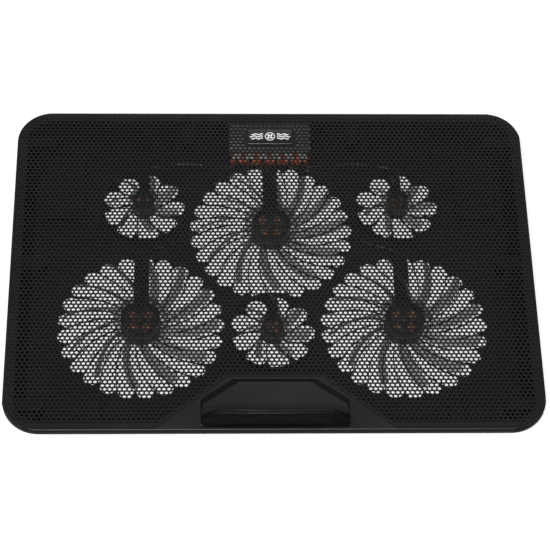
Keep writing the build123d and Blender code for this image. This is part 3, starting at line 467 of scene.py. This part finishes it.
FINISH = {
    "deck": moulded("satin_black_sheet_paint", (0.005, 0.005, 0.0053), (0.009, 0.009, 0.0094), 0.40,
                    grain=0.0005, depth=0.22, dust=0.0, specular=0.35, side=0.05),
    "case": moulded("grained_black_case_plastic", (0.007, 0.007, 0.0075), (0.012, 0.012, 0.0125), 0.52,
                    grain=0.00055, depth=0.5, dust=0.03, specular=0.35, side=0.02),
    "panel": moulded("satin_black_panel_plastic", (0.007, 0.007, 0.0075), (0.010, 0.010, 0.0105), 0.36,
                     grain=0.0003, depth=0.16, dust=0.02, specular=0.40, side=0.02),
    "stop": moulded("smooth_black_stop_plastic", (0.003, 0.003, 0.0033), (0.005, 0.005, 0.0053), 0.30,
                    grain=0.0003, depth=0.12, dust=0.02, specular=0.4, side=0.008),
    "leg": moulded("grained_black_leg_plastic", (0.008, 0.008, 0.0085), (0.014, 0.014, 0.0145), 0.5,
                   depth=0.45),
    "cover": moulded("grey_cover_plastic", (0.060, 0.060, 0.062), (0.08, 0.08, 0.083), 0.5, depth=0.3),
    "badge": moulded("satin_black_badge", (0.006, 0.006, 0.0065), (0.009, 0.009, 0.0095), 0.3, grain=0.00025,
                     depth=0.1, dust=0.02, coat=0.2),
    "mark": moulded("white_badge_ink", (0.80, 0.80, 0.80), (0.72, 0.72, 0.72), 0.45, grain=0.0002, depth=0.1,
                    dust=0.0),
    "rubber": moulded("black_foot_rubber", (0.018, 0.018, 0.018), (0.035, 0.034, 0.033), 0.78, grain=0.0006,
                      depth=0.6, dust=0.25, specular=0.3),
    "wheel": moulded("black_wheel_plastic", (0.02, 0.02, 0.021), (0.04, 0.04, 0.041), 0.45, depth=0.3),
    "sheath": moulded("black_lead_sheath", (0.012, 0.012, 0.013), (0.03, 0.03, 0.031), 0.24, grain=0.0009,
                      depth=0.15, dust=0.03),
    "socket": moulded("off_white_socket_nylon", (0.72, 0.70, 0.64), (0.60, 0.58, 0.52), 0.36, grain=0.0003,
                      depth=0.15, dust=0.05),
    "epoxy": moulded("black_chip_epoxy", (0.02, 0.02, 0.021), (0.035, 0.035, 0.036), 0.5, grain=0.0002,
                     depth=0.4),
    "can": drawn_metal("capacitor_can", (0.75, 0.75, 0.76), (0.5, 0.5, 0.52), 0.3, (300.0, 300.0, 2000.0)),
    "tin": drawn_metal("tinned_leads", (0.80, 0.79, 0.76), (0.6, 0.59, 0.56), 0.28, (1500.0, 1500.0, 1500.0)),
    "usb": drawn_metal("socket_shell_steel", (0.72, 0.72, 0.73), (0.55, 0.55, 0.57), 0.26,
                       (200.0, 4000.0, 4000.0)),
    "steel": drawn_metal("ground_pin_steel", (0.66, 0.66, 0.68), (0.5, 0.5, 0.52), 0.2,
                         (3000.0, 3000.0, 300.0)),
    "screw": drawn_metal("blackened_screw_steel", (0.10, 0.10, 0.105), (0.05, 0.05, 0.053), 0.36,
                         (2500.0, 2500.0, 2500.0)),
    "magnet": drawn_metal("dark_magnet_steel", (0.10, 0.10, 0.105), (0.05, 0.05, 0.055), 0.45,
                          (1200.0, 1200.0, 1200.0)),
    "brass": drawn_metal("bearing_brass", (0.72, 0.53, 0.26), (0.5, 0.36, 0.17), 0.34,
                         (2600.0, 2600.0, 2600.0)),
    "copper": drawn_metal("enamelled_copper", (0.98, 0.60, 0.40), (0.80, 0.36, 0.20), 0.42,
                          (900.0, 900.0, 900.0), depth=0.12, metallic=0.55),
    "blade": clear_plastic("smoky_blade_plastic", 0.34, 0.97, (0.024, 0.024, 0.026), (0.045, 0.045, 0.048)),
    "ring": clear_plastic("smoky_hub_plastic", 0.22, 0.85, (0.024, 0.024, 0.026), (0.045, 0.045, 0.048)),
    "cap": clear_plastic("clear_hub_plastic", 0.12, 0.75, (0.05, 0.05, 0.053), (0.08, 0.08, 0.084)),
    "gold": drawn_metal("gilt_contacts", (0.83, 0.62, 0.26), (0.62, 0.44, 0.16), 0.24,
                        (1800.0, 200.0, 1800.0)),
    "part": moulded("brown_ceramic", (0.20, 0.12, 0.07), (0.28, 0.18, 0.11), 0.4, grain=0.0002, depth=0.2),
    "board": circuit_lacquer("red_board_lacquer", (0.55, 0.085, 0.03), (0.75, 0.17, 0.06), 260.0),
    "motor_board": circuit_lacquer("green_board_lacquer", (0.012, 0.05, 0.022), (0.03, 0.11, 0.05), 420.0),
    "core": laminated_steel(),
}


# ------------------------------------------------------------------ perforated deck
def flat_outline(name):
    """Edges round the flat top of a CAD sheet, as 2-D points and pairs of point numbers."""
    bm = bmesh.new()
    bm.from_mesh(NODES[name].data)
    bmesh.ops.remove_doubles(bm, verts=bm.verts, dist=WELD)
    top = [f for f in bm.faces if f.normal.z > 0.99 and f.calc_center_median().z > DECK_Z - 0.1 * MM]
    chosen = set(top)
    edges = [e for e in bm.edges if sum(f in chosen for f in e.link_faces) == 1]
    numbers = {}
    for edge in edges:
        for v in edge.verts:
            numbers.setdefault(v, len(numbers))
    points = np.array([v.co.xy for v in numbers])
    pairs = np.array([[numbers[v] for v in edge.verts] for edge in edges])
    bm.free()
    return points, pairs


def inside(spots, points, pairs):
    """Even-odd test: how many outline edges a ray along +X crosses."""
    a = points[pairs[:, 0]]
    b = points[pairs[:, 1]]
    y = spots[:, 1][:, None]
    spans = (a[None, :, 1] > y) != (b[None, :, 1] > y)
    rise = np.where(np.abs(b[:, 1] - a[:, 1]) < 1e-12, 1e-12, b[:, 1] - a[:, 1])
    x = a[None, :, 0] + (y - a[None, :, 1]) * (b[:, 0] - a[:, 0])[None] / rise[None]
    return (spans & (x > spots[:, 0][:, None])).sum(1) % 2 == 1


def edge_distance(spots, points, pairs):
    """Distance from each spot to the nearest outline edge."""
    a = points[pairs[:, 0]][None]
    along = (points[pairs[:, 1]] - points[pairs[:, 0]])[None]
    away = spots[:, None, :] - a
    t = np.clip((away * along).sum(2) / np.maximum((along ** 2).sum(2), 1e-16), 0, 1)
    return np.sqrt(((away - along * t[..., None]) ** 2).sum(2)).min(1)


def hole_lattice(points, pairs):
    """Centres of staggered rows of holes: those with room for a whole hexagonal cell, then the rest that
    still have enough metal round them."""
    row = HOLE_PITCH * math.sqrt(3) / 2
    across = math.ceil(np.abs(points[:, 0]).max() / HOLE_PITCH) + 1
    rows = math.ceil(np.abs(points[:, 1]).max() / row) + 1
    i, j = np.meshgrid(np.arange(-across, across + 1), np.arange(-rows, rows + 1), indexing="ij")
    x = (i + 0.5 * (j % 2)) * HOLE_PITCH
    y = j * row
    spots = np.stack([x.ravel(), y.ravel()], axis=1)
    spots = spots[inside(spots, points, pairs)]
    reach = HOLE_PITCH / math.sqrt(3)
    far = np.concatenate([edge_distance(part, points, pairs) for part in np.array_split(spots, 20)])
    whole = far > reach + CELL_LAND
    return spots[whole], spots[~whole & (far > HOLE_R + EDGE_LAND)]


def cell_faces(centres):
    """Each cell: a hexagon round a round hole, as six five-cornered faces between hexagon and hole."""
    outer_r = HOLE_PITCH / math.sqrt(3)
    outer_angle = np.radians(30 + 60 * np.arange(6))
    inner_angle = np.radians(360 / HOLE_SIDES * np.arange(HOLE_SIDES))
    outer = centres[:, None, :] + outer_r * np.stack([np.cos(outer_angle), np.sin(outer_angle)], 1)[None]
    inner = centres[:, None, :] + HOLE_R * np.stack([np.cos(inner_angle), np.sin(inner_angle)], 1)[None]
    verts = np.concatenate([outer, inner], axis=1)
    k = np.arange(6)
    hole_corners = [6 + (2 * k + step) % HOLE_SIDES for step in (3, 2, 1)]
    face = np.stack([k, (k + 1) % 6] + hole_corners, axis=1)
    faces = face[None] + 18 * np.arange(len(centres))[:, None, None]
    return verts.reshape(-1, 2), faces.reshape(-1, 5), outer


def border_triangles(points, pairs, centres, outer, loose):
    """The strip between the outermost cells and the outline, as constrained Delaunay triangles that leave out
    the round holes at the edges."""
    key = np.round(outer.reshape(-1, 2) / (0.001 * MM)).astype(np.int64)
    _, first, number = np.unique(key, axis=0, return_index=True, return_inverse=True)
    number = number.ravel().reshape(-1, 6)
    rim = np.stack([number, np.roll(number, -1, axis=1)], axis=2).reshape(-1, 2)
    rim.sort(axis=1)
    rim, uses = np.unique(rim, axis=0, return_counts=True)
    rim = rim[uses == 1]
    used, rim = np.unique(rim, return_inverse=True)
    rim = rim.reshape(-1, 2)
    flat = outer.reshape(-1, 2)[first[used]]
    angle = np.radians(360 / HOLE_SIDES * np.arange(HOLE_SIDES))
    rings = loose[:, None, :] + HOLE_R * np.stack([np.cos(angle), np.sin(angle)], 1)[None]
    k = np.arange(HOLE_SIDES)
    ring_start = HOLE_SIDES * np.arange(len(loose))[:, None, None]
    ring_pairs = np.stack([k, (k + 1) % HOLE_SIDES], 1)[None] + ring_start
    verts = np.vstack([points, flat, rings.reshape(-1, 2)])
    edges = np.vstack([pairs, rim + len(points), ring_pairs.reshape(-1, 2) + len(points) + len(flat)])
    out = delaunay_2d_cdt([Vector(v) for v in verts], edges.tolist(), [], 1, 1e-9)
    made = np.array([tuple(v) for v in out[0]])
    triangles = np.array([face for face in out[2] if len(face) == 3])
    middle = made[triangles].mean(1)
    keep = inside(middle, points, pairs)
    near = np.array([((centres - m) ** 2).sum(1).argmin() for m in middle])
    away = np.abs(middle - centres[near])
    half = HOLE_PITCH / 2
    in_cell = (away[:, 0] < half) & (away[:, 0] * 0.5 + away[:, 1] * math.sqrt(3) / 2 < half)
    near = np.array([((loose - m) ** 2).sum(1).argmin() for m in middle])
    flats = angle + math.pi / HOLE_SIDES
    reach = ((middle - loose[near]) @ np.stack([np.cos(flats), np.sin(flats)])).max(1)
    in_hole = reach < HOLE_R * math.cos(math.pi / HOLE_SIDES) * 0.999
    return made, triangles[keep & ~in_cell & ~in_hole]


def sheet_solid(name, verts, faces):
    """Gives flat faces the sheet's thickness: a top, a bottom and a wall on every open edge."""
    corners = np.concatenate([f.ravel() for f in faces])
    totals = np.concatenate([np.full(len(f), f.shape[1]) for f in faces])
    key = np.round(verts[corners] / (0.0005 * MM)).astype(np.int64)
    _, first, number = np.unique(key, axis=0, return_index=True, return_inverse=True)
    flat = verts[corners][first]
    number = number.ravel()
    blocks = []
    start = 0
    for f in faces:
        blocks.append(number[start:start + f.size].reshape(f.shape))
        start += f.size
    edges = np.concatenate([np.stack([b, np.roll(b, -1, axis=1)], axis=2).reshape(-1, 2) for b in blocks])
    count = len(flat)
    code = edges[:, 0] * count + edges[:, 1]
    back = edges[:, 1] * count + edges[:, 0]
    open_edges = edges[~np.isin(code, back)]
    top = np.column_stack([flat, np.full(count, DECK_Z)])
    low = np.column_stack([flat, np.full(count, DECK_Z - SHEET_T)])
    tail, head = open_edges.T
    walls = np.stack([head, tail, tail + count, head + count], 1)
    lists = [b.ravel() for b in blocks] + [(b[:, ::-1] + count).ravel() for b in blocks] + [walls.ravel()]
    sizes = [np.full(len(b), b.shape[1]) for b in blocks] * 2 + [np.full(len(walls), 4)]
    return mesh_from(name, np.vstack([top, low]), np.concatenate(lists), np.concatenate(sizes))


def perforated_deck():
    """The deck's sheet in four quarters, each with its holes and its share of the border."""
    points, pairs = flat_outline("top_mesh")
    centres, loose = hole_lattice(points, pairs)
    verts, faces, outer = cell_faces(centres)
    border, triangles = border_triangles(points, pairs, centres, outer, loose)
    corner = border[triangles]
    area = np.cross(corner[:, 1] - corner[:, 0], corner[:, 2] - corner[:, 0])
    triangles = np.where(area[:, None] < 0, triangles[:, ::-1], triangles)
    middle = corner.mean(1)
    for number, (sx, sy) in enumerate(((-1, -1), (1, -1), (-1, 1), (1, 1)), start=1):
        mine = ((centres[:, 0] - SPLIT_X) * sx > 0) & ((centres[:, 1] - SPLIT_Y) * sy > 0)
        mine |= (sx > 0) & (centres[:, 0] == SPLIT_X) & ((centres[:, 1] - SPLIT_Y) * sy > 0)
        strip = ((middle[:, 0] - SPLIT_X) * sx > 0) & ((middle[:, 1] - SPLIT_Y) * sy > 0)
        every = np.vstack([verts, border])
        mesh = sheet_solid(f"deck_quarter_{number}", every,
                           [faces[np.repeat(mine, 6)], triangles[strip] + len(verts)])
        place(mesh, f"deck_quarter_{number}", "case", "deck_paint", FINISH["deck"], ["top_mesh"], crease=40.0)


# ------------------------------------------------------------------ fans
def blades_mesh(name, fan, centre, turn, low, high):
    """Blades are closed, slightly cambered flat ovals swept outwards. Along a blade, u runs from root to tip:
    its angle round the axis is the sweep times u, and its chord stays as tall as the hub allows, then narrows
    over the last fourteenth. Round a section, w runs once about the oval, which leans over the circle's
    tangent at the blade's pitch, its counter-clockwise edge high."""
    shell = Shell()
    r0 = (fan["hub_r"] - 0.6 * fan["wall"]) * MM
    r1 = fan["tip_r"] * MM
    pitch = math.radians(fan["pitch"])
    t = fan["blade_t"] * MM
    half = ((high - low) / 2 - 0.4 * MM - t / 2 * math.cos(pitch)) / math.sin(pitch)
    shoulder = 0.93
    u = np.concatenate([np.linspace(0, shoulder, 12), [0.955, 0.975, 0.99, 1.0]])[:, None]
    w = np.linspace(0, 2 * np.pi, 18, endpoint=False)[None, :]
    past = np.clip((u - shoulder) / (1 - shoulder), 0, 1)
    end = np.sqrt(np.clip(1 - 0.80 * past ** 2, 0, 1))
    across = -np.cos(w) * half * end
    camber = 0.55 * MM * (1 - np.cos(w) ** 2) * end
    thick = np.sign(np.sin(w)) * np.abs(np.sin(w)) ** 0.7 * t / 2 * (1 - 0.25 * u) * (1 - 0.5 * past) + camber
    sideways = across * math.cos(pitch) - thick * math.sin(pitch)
    up = (low + high) / 2 + across * math.sin(pitch) + thick * math.cos(pitch)
    r = r0 + (r1 - r0) * u + 0 * w
    for k in range(fan["blades"]):
        angle = np.radians(turn + 360.0 / fan["blades"] * k + fan["sweep"] * u)
        x = centre[0] + r * np.cos(angle) - sideways * np.sin(angle)
        y = centre[1] + r * np.sin(angle) + sideways * np.cos(angle)
        shell.tube(np.stack([x, y, np.clip(up, low, high)], axis=2))
    return outward(shell.mesh(name))


def lathed(name, centre, profile, columns=96):
    """A closed profile of radius and height, in millimetres, turned round the fan's axis."""
    profile = np.array(profile)
    a = np.linspace(0, 2 * np.pi, columns, endpoint=False)[None, :]
    r = profile[:, 0][:, None] * MM
    z = profile[:, 1][:, None] * MM + 0 * a
    shell = Shell()
    shell.tube(np.stack([centre[0] + r * np.cos(a), centre[1] + r * np.sin(a), z], axis=2), closed_rows=True)
    return outward(shell.mesh(name))


def hub_ring_mesh(name, fan, centre, low, high):
    """The hub's wall and the outer part of its top, with a rounded shoulder and one shallow turned groove."""
    hub, wall, cap = fan["hub_r"], fan["wall"], fan["cap_r"]
    top = high / MM
    base = low / MM + 0.1
    soft = 1.1
    arc = np.linspace(0, np.pi / 2, 7)
    profile = [(hub - wall, base), (hub - 0.3, base), (hub, base + 0.3)]
    profile += [(hub - soft + soft * math.cos(t), top - soft + soft * math.sin(t)) for t in arc]
    groove = (hub - soft + cap) / 2
    profile += [(groove + 0.5, top), (groove + 0.3, top - 0.3)]
    profile += [(groove - 0.3, top - 0.3), (groove - 0.5, top)]
    profile += [(cap + 0.02, top), (cap + 0.02, top - wall), (hub - wall - 0.5, top - wall),
                (hub - wall, top - wall - 0.5)]
    return lathed(name, centre, profile)


def hub_cap_mesh(name, fan, centre, high):
    """The clear middle of the hub's top: a turned profile of a thin disc with a raised boss round the shaft
    and a dished centre."""
    cap, boss = fan["cap_r"] - 0.02, fan["tube_r"]
    top = high / MM
    skin = 0.45
    disc, dish = top - 0.15, top - 0.3
    profile = [(cap, top - skin), (cap, top - 0.12), (cap - 0.12, top), (cap - 0.9, top), (cap - 1.1, disc),
               (boss + 0.5, disc), (boss + 0.3, top), (boss, top), (boss - 0.4, top - 0.25),
               (0.05, dish), (0.05, dish - skin), (boss, dish - skin), (boss + 0.6, disc - skin)]
    return lathed(name, centre, profile)


def coil_mesh(name, fan, centre, z0):
    """Each coil is a closed ring swept round its pole: the profile runs along the winding with one round bump
    a turn, and the path is the pole's own rounded rectangle, offset outwards by the profile's height."""
    shell = Shell()
    paper = 0.06
    half_w = fan["pole_w"] / 2 + paper
    half_h = fan["core_t"] / 2 + paper
    outer_end = math.sqrt((fan["core_r"] - 1.12) ** 2 - (half_w + fan["coil_t"]) ** 2)
    inner_end = fan["tube_r"] + fan["yoke"] + 0.12
    turns = fan["turns"]
    s = np.linspace(0, 1, turns * 6 + 1)
    bump = fan["coil_t"] - 0.22 * fan["coil_t"] * (1 - np.abs(np.sin(np.pi * turns * s)))
    bump = bump * (1 - 0.12 * (2 * s - 1) ** 4)
    along = inner_end + (outer_end - inner_end) * s
    profile_s = np.concatenate([[inner_end], along, [outer_end]])
    profile_d = np.concatenate([[0.0], bump, [0.0]])
    corner = 0.25
    quarter = np.linspace(0, np.pi / 2, 6)
    angle = np.concatenate([quarter + k * np.pi / 2 for k in range(4)])
    cx = np.repeat([half_w - corner, -half_w + corner, -half_w + corner, half_w - corner], 6)
    cz = np.repeat([half_h - corner, half_h - corner, -half_h + corner, -half_h + corner], 6)
    out = corner + profile_d[:, None]
    side = cx[None] + out * np.cos(angle)[None]
    up = cz[None] + out * np.sin(angle)[None]
    middle = z0 / MM + fan["core_t"] / 2
    for k in range(4):
        turn = math.radians(45 + 90 * k)
        radial = profile_s[:, None] + 0 * side
        x = radial * math.cos(turn) - side * math.sin(turn)
        y = radial * math.sin(turn) + side * math.cos(turn)
        points = np.stack([centre[0] + x * MM, centre[1] + y * MM, (middle + up) * MM], axis=2)
        shell.tube(points, closed_rows=True)
    return outward(shell.mesh(name))


def fans():
    """Every fan's blades, hub ring, clear cap and windings, and the finishes of its CAD pieces."""
    for name, (fan, turn) in FANS.items():
        centre = fan_centre(name)
        low, high = (v.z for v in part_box(f"{name}_impeller"))
        for word, mesh, finish in (
                ("blades", blades_mesh(f"{name}_blades", fan, centre, turn, low, high), "blade"),
                ("hub_ring", hub_ring_mesh(f"{name}_hub_ring", fan, centre, low, high), "ring"),
                ("hub_cap", hub_cap_mesh(f"{name}_hub_cap", fan, centre, high), "cap")):
            place(mesh, f"{name}_{word}", f"{name}_rotor", "blade_plastic", FINISH[finish],
                  [f"{name}_impeller"], crease=40.0)
        core_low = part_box(f"{name}_stator")[0].z
        mesh = coil_mesh(f"{name}_windings", fan, centre, core_low)
        place(mesh, f"{name}_windings", "case", "copper", FINISH["copper"], [f"{name}_coils"], crease=60.0)
        finish_cad(f"{name}_magnet_ring", "magnet")
        finish_cad(f"{name}_shaft", "steel")
        finish_cad(f"{name}_stator", "core")
        finish_cad(f"{name}_motor_board", "motor_board")


def finish_cad(name, finish):
    """Gives a CAD piece its finish."""
    mesh = NODES[name].data
    mesh.materials.clear()
    mesh.materials.append(FINISH[finish])


# ------------------------------------------------------------------ badge mark
def ribbon(shell, spine, half_width, z0, z1):
    """A flat raised strip along a 2-D spine, half_width either side of it, with square walls."""
    along = np.gradient(spine, axis=0)
    along /= np.linalg.norm(along, axis=1)[:, None]
    normal = np.stack([-along[:, 1], along[:, 0]], axis=1)
    width = np.broadcast_to(half_width, (len(spine),))[:, None]
    left = spine + normal * width
    right = spine - normal * width
    low, high = np.full(len(spine), z0), np.full(len(spine), z1)
    corners = ((left, low), (left, high), (right, high), (right, low))
    shell.tube(np.stack([np.column_stack(corner) for corner in corners], axis=1))


def badge_mark():
    """A plain airflow pictogram: a four-bladed fan in a ring, with three waves of air on each side of it. A
    wave's height is a sine of its length, and a blade's line turns steadily as it runs outwards."""
    low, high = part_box("nameplate")
    middle = np.array([(low.x + high.x) / 2, (low.y + high.y) / 2]) / MM
    z0, z1 = high.z - 0.07 * MM, high.z + 0.08 * MM
    shell = Shell()
    t = np.linspace(0, 1, 33)
    ends = np.sqrt(np.clip(np.minimum(t, 1 - t) / 0.04, 0.05, 1))
    for side in (-1, 1):
        for row in (-1, 0, 1):
            x = side * (5.2 + (10.2 - 1.2 * abs(row)) * t)
            y = row * 2.0 + 0.5 * np.sin(2 * np.pi * 2 * t)
            ribbon(shell, (middle + np.column_stack([x, y])) * MM, 0.42 * ends * MM, z0, z1)
    for k in range(4):
        r = 0.5 + 2.1 * t
        bend = k * np.pi / 2 + 0.3 + 0.8 * t
        spine = np.column_stack([r * np.cos(bend), r * np.sin(bend)])
        width = 0.10 + 0.62 * np.sin(np.pi * np.clip(0.1 + 0.85 * t, 0, 1))
        ribbon(shell, (middle + spine) * MM, width * MM, z0, z1)
    turn = np.linspace(0, 2 * np.pi, 49)
    ring = 3.5 * np.column_stack([np.cos(turn), np.sin(turn)])
    for part in (slice(0, 25), slice(24, 49)):
        ribbon(shell, (middle + ring[part]) * MM, 0.3 * MM, z0, z1)
    mesh = outward(shell.mesh("badge_mark"))
    return place(mesh, "badge_mark", "case", "badge", FINISH["mark"], crease=30.0)


# ------------------------------------------------------------------ small parts on the board and in sockets
def brick(shell, x, y, z, w, d, h, edge=0.12):
    """A block with its four upper edges broken, standing at height z, sizes in millimetres."""
    rows = []
    for inset, up in ((0, 0), (0, h - edge), (edge, h)):
        a, b = w / 2 - inset, d / 2 - inset
        rows.append([(x + i * a, y + j * b, z + up) for i, j in ((-1, -1), (1, -1), (1, 1), (-1, 1))])
    shell.tube(np.array(rows) * MM)


def board_parts():
    """Chip, ceramic blocks with tinned ends and two upright cans, set out on the control board."""
    low, high = (np.array(v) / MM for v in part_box("control_board"))
    front, top = low[1], high[2]
    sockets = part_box("fan_sockets")[1].y / MM
    dark, brown, tinned, cans = Shell(), Shell(), Shell(), Shell()
    chip_x, chip_y = 2.0, sockets + 5.0
    leg_pitch = 1.4
    brick(dark, chip_x, chip_y, top, 6.0, 4.0, 1.4)
    for k in range(4):
        for side in (-1, 1):
            brick(tinned, chip_x + leg_pitch * (k - 1.5), chip_y + side * 2.5, top, 0.45, 1.0, 0.5, 0.05)
    row_y = front + 4.4
    for x in (-20.0, -10.0, 0.0, 10.0, 20.0):
        brick(brown, x, row_y, top, 1.0, 1.5, 0.7, 0.06)
        for side in (-1, 1):
            brick(tinned, x, row_y + side * 0.95, top, 1.06, 0.4, 0.74, 0.05)
    turn = np.linspace(0, 2 * np.pi, 32, endpoint=False)[None, :]
    can_r, can_h, can_y = 2.1, 5.0, sockets + 3.6
    profile = np.array([(can_r - 0.2, 0), (can_r, 0.2), (can_r, 0.7), (can_r - 0.15, 0.9), (can_r, 1.1),
                        (can_r, can_h - 0.2), (can_r - 0.3, can_h)])
    r, z = profile[:, :1], profile[:, 1:]
    for x in (-9.0, 13.0):
        cans.tube(np.stack([x + r * np.cos(turn), can_y + r * np.sin(turn), top + z + 0 * turn], 2) * MM)
    for word, shell, finish in (("chip", dark, "epoxy"), ("ceramics", brown, "part"),
                                ("solder", tinned, "tin"), ("cans", cans, "can")):
        place(outward(shell.mesh(f"board_{word}")), f"board_{word}", "case", "control_board", FINISH[finish])


def usb_contacts():
    """Four gilt strips under each socket's tongue."""
    low, high = (np.array(v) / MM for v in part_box("usb_sockets"))
    shell = Shell()
    socket_w, strip_pitch = 13.2, 2.5
    for x in (low[0] + socket_w / 2, high[0] - socket_w / 2):
        for k in range(4):
            brick(shell, x + strip_pitch * (k - 1.5), high[1] - 6.9, high[2] - 3.02, 1.2, 7.6, 0.14, 0.02)
    place(outward(shell.mesh("usb_contacts")), "usb_contacts", "case", "usb_metal", FINISH["gold"])


# ------------------------------------------------------------------ floor, lights, camera
def studio():
    """A pale ground that glows like a light table, a large soft light above the front and three weak ones."""
    reach, drop = 3.0, 0.2 * MM
    corners = np.array([[-reach, -reach, -drop], [reach, -reach, -drop], [reach, reach, -drop],
                        [-reach, reach, -drop]])
    floor_mesh = mesh_from("ground", corners, np.arange(4), [4])
    floor = bpy.data.objects.new("ground", floor_mesh)
    bpy.context.scene.collection.objects.link(floor)
    material, _, shader, _ = blank_material("pale_ground")
    shader.inputs["Base Color"].default_value = (0.58, 0.58, 0.58, 1)
    shader.inputs["Roughness"].default_value = 0.9
    shader.inputs["Emission Color"].default_value = (1, 1, 1, 1)
    shader.inputs["Emission Strength"].default_value = 0.55
    floor_mesh.materials.append(material)

    world = bpy.data.worlds.new("soft_room")
    bpy.context.scene.world = world
    world.use_nodes = True
    sky = world.node_tree.nodes["Background"]
    sky.inputs["Color"].default_value = (1.0, 1.0, 1.0, 1)
    sky.inputs["Strength"].default_value = 0.14
    for name, spot, width, height, power in (
            ("key", (-0.2, -1.12, 1.76), 1.1, 0.7, 54.0),
            ("behind", (0.2, 1.5, 1.0), 1.4, 0.4, 3.0),
            ("left", (-1.6, 0.1, 1.0), 0.7, 1.2, 5.0),
            ("right", (1.6, -0.1, 1.0), 0.7, 1.2, 3.5)):
        light = bpy.data.lights.new(name, "AREA")
        light.shape = "RECTANGLE"
        light.size = width
        light.size_y = height
        light.energy = power
        lamp = bpy.data.objects.new(name, light)
        bpy.context.scene.collection.objects.link(lamp)
        aim = Vector((0, 0, 0.02)) - Vector(spot)
        lamp.matrix_world = Matrix.Translation(spot) @ aim.to_track_quat("-Z", "Y").to_matrix().to_4x4()


def camera():
    """Long lens, from the front and above, a little to the left, and slightly rolled."""
    yaw, rise, roll = (math.radians(v) for v in (3.32, 57.03, 2.76))
    ahead = Vector((math.sin(yaw) * math.cos(rise), math.cos(yaw) * math.cos(rise), -math.sin(rise)))
    right = Vector((math.cos(yaw), -math.sin(yaw), 0))
    up = right.cross(ahead)
    rolled_right = math.cos(roll) * right + math.sin(roll) * up
    rolled_up = -math.sin(roll) * right + math.cos(roll) * up
    spot = Vector((-45.8 * MM, -828.7 * MM, 1264.7 * MM + DECK_Z))
    data = bpy.data.cameras.new("view")
    data.sensor_width = 36.0
    data.lens = 136.24
    data.clip_start = 0.05
    eye = bpy.data.objects.new("view", data)
    bpy.context.scene.collection.objects.link(eye)
    turned = Matrix((rolled_right, rolled_up, -ahead)).transposed().to_4x4()
    eye.matrix_world = Matrix.Translation(spot) @ turned
    bpy.context.scene.camera = eye


# ------------------------------------------------------------------ put together
bpy.context.scene.view_settings.view_transform = "Standard"
camera()
studio()
perforated_deck()
fans()
badge_mark()
board_parts()
usb_contacts()

softened("upper_frame", 0.3 * MM, "case_plastic", FINISH["panel"])
softened("laptop_stop", 0.12 * MM, "stop_plastic", FINISH["stop"], steps=1)
softened("nameplate", 0.2 * MM, "badge", FINISH["badge"])
softened("control_cover", 0.3 * MM, "cover_plastic", FINISH["cover"])
softened("fan_sockets", 0.2 * MM, "socket_plastic", FINISH["socket"])
softened("left_leg", 0.3 * MM, "leg_plastic", FINISH["leg"])
softened("right_leg", 0.3 * MM, "leg_plastic", FINISH["leg"])
for name, finish in (("bottom_case", "case"), ("stop_hinge_pins", "screw"), ("bearing_sleeves", "brass"),
                     ("control_board", "board"), ("usb_sockets", "usb"), ("speed_control", "wheel"),
                     ("speed_wheel", "wheel"), ("fan_leads", "sheath"), ("left_leg_pad", "rubber"),
                     ("right_leg_pad", "rubber"), ("rubber_feet", "rubber"), ("case_screws", "screw"),
                     ("board_screws", "screw")):
    finish_cad(name, finish)
